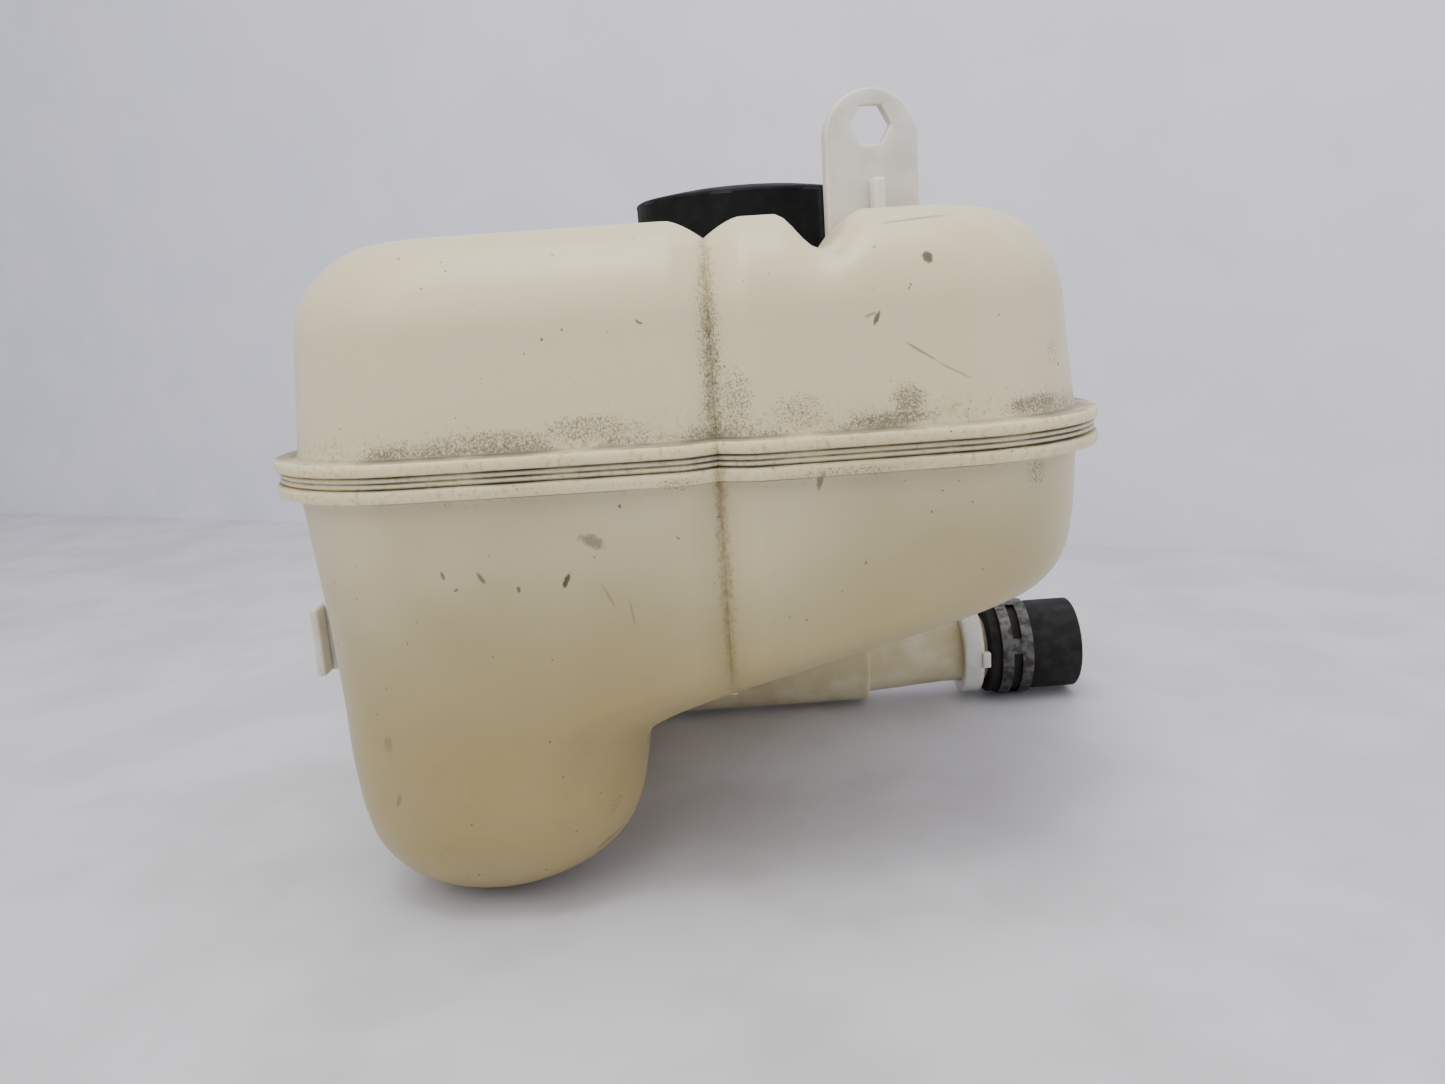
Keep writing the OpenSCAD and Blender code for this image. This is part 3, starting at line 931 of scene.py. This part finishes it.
@dataclass
class TankShape:
    """Sizes of the two shells, in millimetres from the middle of the rim."""

    half_width: float = 102.0
    half_depth: float = 90.0
    corner: float = 37.0
    bow: float = 4.4
    wall: float = 2.8
    top: float = 177.0
    rounding: float = 25.0
    groove_x: float = 7.5
    groove_half: float = 9.0
    groove_deep: float = 4.6
    valley_x: float = 35.5
    valley_half: float = 11.0
    valley_deep: float = 8.8
    neck_x: float = 22.0
    neck_y: float = 11.0
    neck_r: float = 24.0
    recess_deep: float = 11.5
    # height, left reach, right reach, half depth, left corner, right corner, corner depth
    sections: tuple[tuple[float, ...], ...] = (
        (0, 72, -54, 54, 8, 8, 14), (2, 81, -43, 63, 18, 18, 22), (6, 87.5, -34, 71, 26, 26, 27),
        (12, 92.5, -26.5, 78, 30, 28, 29), (20, 95.5, -21, 82.7, 31, 29, 30), (
            30, 96.8, -17.8, 85.2, 32, 30, 30
        ),
        (
            41, 97.4, -17.2, 86.1, 32, 30, 30
        ), (47.2, 97.7, -14, 86.5, 33, 32, 30), (52, 97.9, -5, 86.8, 34, 38, 31),
        (55.3, 98.1, 6, 86.9, 35, 46, 32), (
            59.3, 98.4, 22, 87.2, 36, 54, 33
        ), (67.3, 98.8, 54, 87.6, 36, 56, 34),
        (
            74.3, 99.3, 80, 88.1, 37, 50, 35
        ), (77.4, 99.6, 90, 88.3, 37, 44, 36), (81.6, 99.9, 96, 88.6, 37, 40, 37),
        (88.4, 100.4, 100, 88.9, 37, 38, 37), (
            100, 101.2, 101.6, 89.4, 37, 37, 37
        ), (113, 102, 102, 90, 37, 37, 37),
    )

    def groove(self, x: np.ndarray) -> np.ndarray:
        """Returns the front groove's depth at sideways places."""
        u = np.clip(np.abs(x - self.groove_x) / self.groove_half, 0, 1)
        return self.groove_deep * (1 - u) ** 1.5

    def valley(self, x: np.ndarray) -> np.ndarray:
        """Returns the drain valley's depth at sideways places."""
        u = np.clip((x - self.valley_x) / self.valley_half, -1, 1)
        return self.valley_deep * np.cos(np.pi / 2 * u) ** 2

    def top_dip(self, x: np.ndarray, y: np.ndarray) -> np.ndarray:
        """Gives how far the top lies below its highest level.

        Args:
            x: sideways places.
            y: depth places.

        Returns:
            The depths below the top.
        """
        away = np.hypot(x - self.neck_x, y - self.neck_y)
        recess = self.recess_deep * (1 - ease((away - 38) / 12))
        valley = np.where(y < self.neck_y, self.valley(x), 0)
        return np.maximum(np.maximum(recess, valley), self.groove(x) * ease((-y - 20) / 20))

    def row(self, z: float) -> np.ndarray:
        """Gives the lower shell's section sizes at a height.

        Args:
            z: height in millimetres.

        Returns:
            Left and right reach, half depth and the three corner sizes.
        """
        table = np.array(self.sections)
        half = min(3.0, z, 113.0 - z)
        places = z + half * np.linspace(-1, 1, 9)
        return np.array([np.interp(places, table[:, 0], table[:, k]).mean() for k in range(1, 7)])

    def outline(self, left: float, right: float, deep: float, cl: float, cr: float, cd: float) -> Ring:
        """Traces the front half of a section with points gathered at the groove.

        Args:
            left: left reach.
            right: right reach.
            deep: half depth.
            cl: left corner's length along X.
            cr: right corner's length along X.
            cd: both corners' length along Y.

        Returns:
            Points from the middle of the left side round the front to the right side.
        """
        turn = np.linspace(0, math.pi / 2, 60)
        start = np.column_stack([-left + cl - cl * np.cos(turn), -deep + cd - cd * np.sin(turn)])
        finish = np.column_stack([right - cr + cr * np.sin(turn), -deep + cd - cd * np.cos(turn)])
        path = np.vstack([[[-left, 0]], start, finish, [[right, 0]]])
        length = np.concatenate([[0], np.cumsum(np.hypot(*np.diff(path, axis=0).T))])
        aim = min(self.groove_x, right - 22.0)
        middle = float(np.interp(aim, path[:, 0] + np.arange(len(path)) * 1e-7, length))
        near = min(12.0, 0.4 * middle, 0.4 * (length[-1] - middle))
        places = np.concatenate([
            np.linspace(0, middle - near, 44, endpoint=False), np.linspace(
                middle - near, middle, 10, endpoint=False
            ),
            np.linspace(
                middle, middle + near, 10, endpoint=False
            ), np.linspace(middle + near, length[-1], 64),
        ])
        return np.column_stack([np.interp(places, length, path[:, k]) for k in (0, 1)])

    def section(self, z: float, sizes: Sequence[float], tilt: float = 0.0, depth: float = 1.0) -> Ring:
        """Makes one closed section.

        Args:
            z: its height.
            sizes: left and right reach, half depth and the three corner sizes.
            tilt: slope of the skin in degrees, 0 on the wall and 90 on top.
            depth: share of the groove's depth.

        Returns:
            Points of the section, counter-clockwise seen from above.
        """
        front = self.outline(*sizes)
        back = front[-2:0:-1] * (1, -1)
        flat = np.vstack([front, back])
        x, y = flat.T
        deep = sizes[2]
        bow = 1 - (x / self.half_width) ** 2
        side = 1 - (y / self.half_depth) ** 2
        face = ease((np.abs(y) / deep - 0.72) / 0.2)
        sink = depth * face * self.groove(x)
        slope = math.radians(tilt)
        dip = face * np.where(y < 0, self.valley(x), 0) * math.sin(slope) ** 2
        moved = y + np.sign(y) * (np.abs(y) / deep * self.bow * bow - sink * math.cos(slope))
        return np.column_stack([x + x / self.half_width * side, moved, z - sink * math.sin(slope) - dip])

    def upper(self, inset: float, z: float, tilt: float = 0.0, depth: float = 1.0) -> Ring:
        """Makes a section of the upper shell or the rim.

        Args:
            inset: how far it is moved in from the outer wall.
            z: its height.
            tilt: passed on to the section.
            depth: passed on to the section.

        Returns:
            The ring of points.
        """
        wide = self.half_width - inset
        corner = max(14.0, self.corner - inset * 0.7)
        return self.section(
            z, (wide, wide, self.half_depth - inset * 0.85, corner, corner, corner), tilt, depth
        )

    def upper_skin(self, thick: float) -> list[Ring]:
        """Makes the upper shell's rings from above the rim to the neck.

        Args:
            thick: how far the skin lies inside the outer one.

        Returns:
            The rings.
        """
        rings = [self.upper(thick + (z - 122.3) * 0.1, z) for z in np.linspace(126.8, 152, 12)]
        for a in np.linspace(0, 90, 19)[1:]:
            slope = math.radians(a)
            inset = thick + 3 + self.rounding * (1 - math.cos(slope))
            rings.append(
                self.upper(inset, self.top - self.rounding - thick + self.rounding * math.sin(slope), a)
            )
        edge = self.upper(thick + 3 + self.rounding, self.top)
        turn = np.arctan2(edge[:, 1] - self.neck_y, edge[:, 0] - self.neck_x)
        goal = np.column_stack(
            [self.neck_x + self.neck_r * np.cos(turn), self.neck_y + self.neck_r * np.sin(turn)]
        )
        for s in np.linspace(0, 1, 27)[1:]:
            flat = edge[:, :2] * (1 - s) + goal * s
            z = self.top - thick - self.top_dip(flat[:, 0], flat[:, 1])
            rings.append(np.column_stack([flat, z]))
        return rings

    def lower_skin(self, thick: float) -> list[Ring]:
        """Makes the lower shell's rings from the sump's foot to the rim.

        Args:
            thick: how far the skin lies inside the outer one.

        Returns:
            The rings.
        """
        heights = [
            0, 0.35, 1, 2, 3, 4.5, 6, 8, 10, 12, *np.linspace(14.5, 46, 14), *np.linspace(48, 86, 27),
            *np.linspace(89, 113, 10)
        ]
        rings = []
        for z in heights:
            left, right, deep, cl, cr, cd = self.row(z)
            sizes = (
                left - thick, right - thick, deep - thick, max(4, cl - thick), max(4, cr - thick),
                max(8, cd - thick)
            )
            depth = float(ease((z - 56) / 12))
            rings.append(self.section(max(z, thick), sizes, 0, depth))
        return rings


@dataclass
class TankShells:
    """The welded body: upper shell, lower shell and the bead between them."""

    shape: TankShape
    outlet_y: float = 70.0
    outlet_z: float = 18.5
    duct_r: float = 17.5
    boss_r: float = 14.0
    switch_x: float = -52.0
    switch_z: float = 72.0
    nipple_x: float = -60.0
    nipple_z: float = 150.0

    def build(self, shop: Workshop) -> list[Any]:
        """Builds the shells and their weld.

        Args:
            shop: places and finishes the pieces.

        Returns:
            The three pieces.
        """
        return [
            shop.place(self.upper_shell(), "tank", "upper_shell", "natural_polypropylene", NATURAL),
            shop.place(self.lower_shell(), "tank", "lower_shell", "natural_polypropylene", NATURAL),
            shop.place(self.weld(), "tank", "weld_bead", "weld_polypropylene", NATURAL),
        ]

    def lip(self, low: float, high: float) -> list[Ring]:
        """Makes a rim's outer edge with rounded corners.

        Args:
            low: its lower height.
            high: its upper height.

        Returns:
            The rings of points, from the bottom up.
        """
        return [
            self.shape.upper(inset, z)
            for inset, z in (
                (-4.6, low), (-5.2, low + 0.2), (-5.5, low + 0.8), (-5.5, high - 0.8), (-5.2, high - 0.2),
                (-4.6, high)
            )
        ]

    def upper_shell(self) -> Any:
        """Lofts the dome with its rim, and opens it for the return nipple.

        Returns:
            The piece.
        """
        shape = self.shape
        fillet = [shape.upper(inset, z) for inset, z in ((-2.0, 125.5), (-0.6, 125.6), (0.1, 126.0))]
        outer = [shape.upper(-1.0, 122.3), *self.lip(122.3, 125.5), *fillet, *shape.upper_skin(0)]
        inner = [shape.upper(shape.wall, 122.3), *shape.upper_skin(shape.wall)]
        piece = loft("upper_shell_skin", outer + inner[::-1], Corner.LOOP)
        hole = turned(
            "hole", [(0, 60), (4.5, 60), (4.5, 115), (0, 115)],
            Matrix.Translation((self.nipple_x, 0, self.nipple_z)) @ Matrix.Rotation(-math.pi / 2, 4, "X"), 32,
        )
        cut(piece, [hole])
        return piece

    def lower_shell(self) -> Any:
        """Lofts the lobe and the sump with their rim, and opens them for the duct and the switch.

        Returns:
            The piece.
        """
        shape = self.shape
        fillet = [
            shape.upper(inset, z) for inset, z in ((-0.1, 114.4), (-0.7, 115.4), (-2.0, 115.9), (-3.2, 116.0))
        ]
        outer = [*shape.lower_skin(0), *fillet, *self.lip(116.0, 119.2), shape.upper(-1.0, 119.2)]
        inner = [*shape.lower_skin(shape.wall), shape.upper(shape.wall, 119.2)]
        piece = loft("lower_shell_skin", inner[::-1] + outer, Corner.OPEN)
        duct = turned(
            "duct", [(0, -46), (self.duct_r, -46), (self.duct_r, 14), (0, 14)],
            Matrix.Translation((0, self.outlet_y, self.outlet_z)) @ Matrix.Rotation(math.pi / 2, 4, "Y"), 64,
        )
        boss = turned(
            "boss", [(0, 70), (self.boss_r, 70), (self.boss_r, 110), (0, 110)],
            Matrix.Translation((self.switch_x, 0, self.switch_z)) @ Matrix.Rotation(-math.pi / 2, 4, "X"), 48,
        )
        cut(piece, [duct, boss])
        return piece

    def weld(self) -> Any:
        """Lofts the two ridges of flash that the weld pressed out.

        Returns:
            The piece.
        """
        shape = self.shape
        ridge = (
            (-2.5, 119.2), (-4.0, 119.4), (-4.6, 119.9), (-4.5, 120.4), (-3.9, 120.75), (-4.5, 121.1),
            (-4.6, 121.6), (-4.0, 122.1), (-2.5, 122.3)
        )
        rings = [shape.upper(inset, z) for inset, z in ridge]
        rings += [shape.upper(shape.wall, 122.3), shape.upper(shape.wall, 119.2)]
        return loft("weld_flash", rings, Corner.LOOP)


@dataclass
class TankFittings:
    """The upright bracket, the side rail and the sticker."""

    bracket_x: float = 55.7
    bracket_y: float = -32.0
    bracket_turn: float = 12.0
    bracket_wide: float = 27.0
    bracket_thick: float = 4.0
    bracket_top: float = 212.0
    hex_flats: float = 10.4

    def build(self, shop: Workshop, shell: Any) -> list[Any]:
        """Builds the fittings.

        Args:
            shop: places and finishes the pieces.
            shell: the placed lower shell, which the sticker lies on.

        Returns:
            The pieces.
        """
        return [
            shop.place(self.bracket(), "tank", "top_bracket", "pale_polypropylene", PALE),
            shop.place(self.rail(), "tank", "side_rail", "pale_polypropylene", PALE),
            shop.place(self.label(shell, shop.shift), "tank", "label", "clear_film", FILM),
        ]

    def bracket(self) -> Any:
        """Makes the plate with its hexagonal hole and the gussets.

        Returns:
            The piece.
        """
        place = Matrix.Translation((self.bracket_x, self.bracket_y, 0)) @ Matrix.Rotation(
            math.radians(self.bracket_turn), 4, "Z"
        )
        half = self.bracket_wide / 2
        round_z = self.bracket_top - half
        arc = [(half * math.cos(a), round_z + half * math.sin(a)) for a in np.linspace(0, math.pi, 33)]
        outline = [(-half, 168), (half, 168), *arc]
        reach = self.hex_flats / math.sqrt(3)
        hole = [
            (
                reach * math.cos(a), self.bracket_top - 9.5 + reach * math.sin(a)
            ) for a in np.radians(range(0, 360, 60))
        ]
        plate = slab("plate", outline, self.bracket_thick, place, 0.45, hole)
        front = block("front gusset", (-1.5, -5, 172), (1.5, 0.2, 188), place, 0.5)
        back = block("back gusset", (-1.5, 3.8, 172), (1.5, 11, 184), place, 0.5)
        return joined("bracket_plate", [plate, front, back])

    def rail(self) -> Any:
        """Makes the rail on the left side, a flange on a web.

        Returns:
            The piece.
        """
        plate = block("rail flange", (-111.2, -45, 60), (-108.6, -29, 80), Matrix.Identity(4), 0.7)
        web = block("rail web", (-109, -39, 60), (-98, -35, 80), Matrix.Identity(4), 0.5)
        return joined("rail_tee", [plate, web])

    def label(self, shell: Any, shift: Vector) -> Any:
        """Lays a thin clear sheet on the underside of the sloping floor.

        Args:
            shell: the placed lower shell.
            shift: the tank's place in the frame, in millimetres.

        Returns:
            The sheet, about the middle of the rim.
        """
        columns = np.linspace(7.5, 48, 28)
        rows = np.linspace(-70, -34, 16)
        points = []
        for lift in (0.08, 0.3):
            for x in columns:
                for y in rows:
                    start = (Vector((x, y, 20)) + shift) * MM
                    found, spot, normal, _ = shell.ray_cast(start, Vector((0, 0, 1)))
                    spot = spot / MM - shift if found else Vector((x, y, 60))
                    points.append(tuple(spot + normal * lift))
        wide, deep = len(columns), len(rows)
        faces = []
        for side in (0, 1):
            base = side * wide * deep
            for i in range(wide - 1):
                for j in range(deep - 1):
                    a = base + i * deep + j
                    faces.append((a, a + 1, a + deep + 1, a + deep))
        border = [i * deep for i in range(wide)] + [(wide - 1) * deep + j for j in range(1, deep)]
        border += [i * deep + deep - 1 for i in range(wide - 2, -1, -1)] + list(range(deep - 2, 0, -1))
        for k, a in enumerate(border):
            b = border[(k + 1) % len(border)]
            faces.append((a, b, b + wide * deep, a + wide * deep))
        return mesh_piece("clear_sticker", points, faces, 60)


@dataclass
class Outlet:
    """The rear outlet's collar, hose and spring clamp, along +X."""

    y: float = 70.0
    z: float = 18.5
    spigot_r: float = 12.5
    hose_r: float = 17.5
    hose_start: float = 107.7
    hose_end: float = 143.0
    step: float = 132.3
    clamp_low: float = 112.0
    clamp_high: float = 124.0

    def axis(self) -> Matrix:
        """Returns the place whose local Z runs along the outlet."""
        return Matrix.Translation((0, self.y, self.z)) @ Matrix.Rotation(math.pi / 2, 4, "Y")

    def build(self, shop: Workshop) -> list[Any]:
        """Builds the three pieces.

        Args:
            shop: places and finishes the pieces.

        Returns:
            The pieces.
        """
        return [
            shop.place(self.collar(), "tank", "outlet_collar", "pale_polypropylene", PALE),
            shop.place(self.hose(), "tank", "hose_stub", "epdm_rubber", HOSE),
            shop.place(self.clamp(), "tank", "hose_clamp", "spring_steel", SPRING),
        ]

    def collar(self) -> Any:
        """Turns the collar and adds its nub.

        Returns:
            The piece.
        """
        ring = turned("collar ring", tube_profile(17, self.spigot_r + 0.05, 98, 105.5, 0.9), self.axis(), 96)
        nub = block("nub", (-3, -17.8, 104.5), (3, -14.3, 107.6), self.axis(), 0.5)
        return joined("outlet_ring", [ring, nub])

    def hose(self) -> Any:
        """Turns the cut hose, squeezed a little where the clamp grips it.

        Returns:
            The piece.
        """
        outer = []
        for z in np.linspace(self.hose_start + 0.6, self.hose_end - 0.5, 34):
            grip = float(ease((z - self.clamp_low + 3) / 3) * ease((self.clamp_high + 3 - z) / 3))
            outer.append((self.hose_r - 0.25 * grip, z))
        profile = [(self.spigot_r + 0.06, self.hose_start), (self.hose_r - 0.6, self.hose_start), *outer]
        profile += [(self.hose_r - 0.5, self.hose_end), (12.4, self.hose_end), (12.0, self.hose_end - 0.4)]
        profile += [(12.0, self.step + 0.3), (self.spigot_r + 0.06, self.step)]

        def uneven(angle: float, radius: float, height: float) -> float:
            """Gives the outside a slight, slow unevenness."""
            return radius - (0.12 * (1 + math.sin(3 * angle + height * 0.11)) if radius > 16 else 0)

        return turned("rubber_hose", profile, self.axis(), 112, uneven)

    def clamp(self) -> Any:
        """Bends the band, opens its window and slots and adds the squeeze ears.

        Returns:
            The piece.
        """
        inner = self.hose_r + 0.02
        band = turned(
            "band", tube_profile(inner + 1, inner, self.clamp_low, self.clamp_high, 0.3), self.axis(), 144
        )
        windows = []
        for turn, wide, low, high in (
            (100, 8, 115.5, 120.5), (-60, 22, 116.3, 119.7), (-140, 16, 116.3, 119.7)
        ):
            place = self.axis() @ Matrix.Rotation(math.radians(turn), 4, "Z")
            windows.append(block("window", (10, -wide / 2, low), (30, wide / 2, high), place, 0))
        cut(band, windows)
        parts = [band]
        for turn, lean in ((128, -1), (152, 1)):
            place = self.axis() @ Matrix.Rotation(math.radians(turn), 4, "Z")
            parts.append(block("ear", (inner + 0.5, -0.5, 114), (inner + 7.4, 0.5, 122), place, 0.3))
            low, high = sorted((0, lean * 2.6))
            parts.append(block("ear lip", (inner + 6.6, low, 114), (inner + 7.5, high, 122), place, 0.3))
        return joined("band_clamp", parts)


@dataclass
class PressureCap:
    """The screw cap's cover and the springs of its valves."""

    x: float = 22.0
    y: float = 11.0
    radius: float = 35.0
    low: float = 169.0
    ribs: int = 8
    first_rib: float = 31.0

    def axis(self) -> Matrix:
        """Returns the cap's axis."""
        return Matrix.Translation((self.x, self.y, 0))

    def build(self, shop: Workshop) -> list[Any]:
        """Builds the cover and both springs.

        Args:
            shop: places and finishes the pieces.

        Returns:
            The pieces.
        """
        cover = shop.place(self.cover(), "cap", "cap_cover", "black_nylon", BLACK)
        strong = coil("pressure_coil", self.axis(), 11.4, 0.9, 163.65, 184.5, 5)
        shop.place(strong, "cap_valve", "pressure_spring", "stainless_steel", STAINLESS)
        weak = coil("vacuum_coil", self.axis(), 4.1, 0.35, 163.65, 170.9, 5)
        shop.place(weak, "pressure_valve", "vacuum_spring", "stainless_steel", STAINLESS)
        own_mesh(strong)
        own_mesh(weak)
        return [cover, strong, weak]

    def cover(self) -> Any:
        """Turns the double-walled cover with its grip ribs, thread and stops.

        Returns:
            The piece.
        """
        outer = [
            (34.2, 169.7), (34.2, 180), (34.2, 187.9), (34.35, 188.4), (34.1, 189), (33.4, 189.4),
            (28, 190.4), (22.5, 191.3), (18, 191.75), (14, 192), (7, 192.2), (0, 192.3)
        ]
        inner = [
            (0, 187.4), (26.7, 187.4), (27.2, 186.9), (27.2, 169.3), (27.5, 169), (29.1, 169), (29.4, 169.3),
            (29.4, 187.1), (29.7, 187.4), (31.7, 187.4), (32, 187.1), (32, 169.3), (32.3, 169), (33.6, 169)
        ]
        spacing = 2 * math.pi / self.ribs
        first = math.radians(self.first_rib)

        def ribbed(angle: float, radius: float, height: float) -> float:
            """Lifts eight grip ribs out of the outer wall.

            Args:
                angle: the place round the cap.
                radius: the radius without ribs.
                height: the height.

            Returns:
                The radius with ribs.
            """
            if radius < 33.5 or height > 188.1:
                return radius
            off = (angle - first + spacing / 2) % spacing - spacing / 2
            return radius + 0.8 * float(ease((3.9 - abs(off) * self.radius) / 1.6))

        body = turned("cover body", inner + outer, self.axis(), 240, ribbed)
        parts = [body, thread("cover thread", self.axis(), 27.8, 24.7, (1.7, 0.7), 173.4, 6.0, 1.25)]
        for turn in (0, 120, 240):
            place = self.axis() @ Matrix.Rotation(math.radians(turn), 4, "Z")
            parts.append(block("stop", (25.1, -4, 183.5), (27.6, 4, 184.3), place, 0.2))
        return joined("cap_cover_moulding", parts)


# ------------------------------------------------------------ camera and room


@dataclass
class Studio:
    """The camera, the table, the backdrop and the lights."""

    shift: Vector
    eye: tuple[float, float, float] = (6.4, -344.5, 152.5)
    pitch: float = 11.5
    roll: float = 3.8
    yaw: float = 0.2
    lens: float = 27.03

    def build(self) -> None:
        """Builds everything that isn't the tank."""
        self.camera()
        self.room()
        self.lights()

    def camera(self) -> None:
        """Places the camera by its three turns."""
        pitch, roll, yaw = (math.radians(a) for a in (self.pitch, self.roll, self.yaw))
        ahead = Vector((math.sin(yaw) * math.cos(pitch), math.cos(yaw) * math.cos(pitch), -math.sin(pitch)))
        right = Vector((math.cos(yaw), -math.sin(yaw), 0))
        up = right.cross(ahead)
        right, up = right * math.cos(roll) - up * math.sin(roll), right * math.sin(roll) + up * math.cos(roll)
        data = bpy.data.cameras.new("camera")
        data.lens = self.lens
        data.sensor_width = 36
        data.clip_start = 0.01
        camera = bpy.data.objects.new("camera", data)
        bpy.context.scene.collection.objects.link(camera)
        turn = Matrix((right, up, -ahead)).transposed().to_4x4()
        camera.matrix_world = Matrix.Translation((Vector(self.eye) + self.shift) * MM) @ turn
        bpy.context.scene.camera = camera

    def room(self) -> None:
        """Lays the floor and stands the backdrop behind it."""
        floor = self.sheet(
            "floor", [(-1600, -1400, 0), (2400, -1400, 0), (2400, 1500, 0), (-1600, 1500, 0)], "D0CFD5",
            "C5C2C7", 0.5
        )
        left, right = Vector((-1470, 1179, 0)), Vector((1811, -477, 0))
        wall = self.sheet(
            "backdrop", [left, right, right + Vector((0, 0, 1500)), left + Vector((0, 0, 1500))], "E2E1EA",
            "DDDDE8", 0.8
        )

    def sheet(self, name: str, corners: Sequence[Any], colour: str, second: str, roughness: float) -> Any:
        """Makes a flat surface of the room.

        Args:
            name: its name.
            corners: its corners in millimetres.
            colour: sRGB hex colour.
            second: colour of its mottling.
            roughness: how matt it is.

        Returns:
            The surface.
        """
        points = [tuple(Vector(c) + self.shift) for c in corners]
        piece = mesh_piece(name, points, [(0, 1, 2, 3)])
        towards = self.shift + Vector((0, 0, 300)) - Vector(points[0])
        if piece.data.polygons[0].normal.dot(towards) < 0:
            piece.data.flip_normals()
        piece.data.materials.append(
            Finish(
                name + " paint", colour, second, roughness, grain=70.0, relief=0.12, relief_size=5.0,
                one_sided=True
            ).build(self.shift)
        )
        return piece

    def lights(self) -> None:
        """Hangs two soft lamps and lights the room evenly."""
        world = bpy.data.worlds.new("room")
        world.use_nodes = True
        world.node_tree.nodes["Background"].inputs[0].default_value = linear("E4E8F2")
        world.node_tree.nodes["Background"].inputs[1].default_value = 0.85
        bpy.context.scene.world = world
        self.lamp("window", (-450, -650, 900), (0, 0, 80), 900, 6.5, "FFFCF2")
        self.lamp("ceiling", (0, -150, 1100), (0, 0, 0), 600, 5.8, "FFFDF6")
        self.lamp("fill", (850, -350, 450), (60, 0, 90), 800, 2.2, "FFFFFF")
        self.lamp("tube", (-120, -420, 1000), (0, 0, 120), 160, 1.3, "FFFFFF")

    def lamp(
        self, name: str, spot: Sequence[float], aim: Sequence[float], size: float, power: float, colour: str
    ) -> None:
        """Hangs a soft lamp.

        Args:
            name: its name.
            spot: its place in millimetres.
            aim: the place it points at.
            size: its width in millimetres.
            power: its power in watts.
            colour: sRGB hex colour.
        """
        data = bpy.data.lights.new(name, "AREA")
        data.size = size * MM
        data.energy = power
        data.color = linear(colour)[:3]
        lamp = bpy.data.objects.new(name, data)
        bpy.context.scene.collection.objects.link(lamp)
        start = (Vector(spot) + self.shift) * MM
        end = (Vector(aim) + self.shift) * MM
        lamp.location = start
        lamp.rotation_euler = (end - start).to_track_quat("-Z", "Y").to_euler()


def rim_shift() -> Vector:
    """Finds the middle of the rim in the frame, in millimetres."""
    low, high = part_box("upper_shell")
    return Vector(((low.x + high.x) / 2 / MM, (low.y + high.y) / 2 / MM, 0))


def main() -> None:
    """Builds the tank's looks round its frame, then the room."""
    logging.basicConfig(level=logging.INFO, format="%(message)s")
    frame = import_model()
    shift = rim_shift()
    shop = Workshop(shift)
    shells = TankShells(TankShape()).build(shop)
    bpy.context.view_layer.update()
    pieces = [
        *shells, *TankFittings().build(shop, shells[1]), *Outlet().build(shop), *PressureCap().build(shop)
    ]
    for name, finish in CARRIED.items():
        shop.dress(frame["nodes"][name], finish)
    Studio(shift).build()
    log.info("built %d pieces, dressed %d CAD nodes", len(pieces), len(CARRIED))


if __name__ == "__main__":
    main()
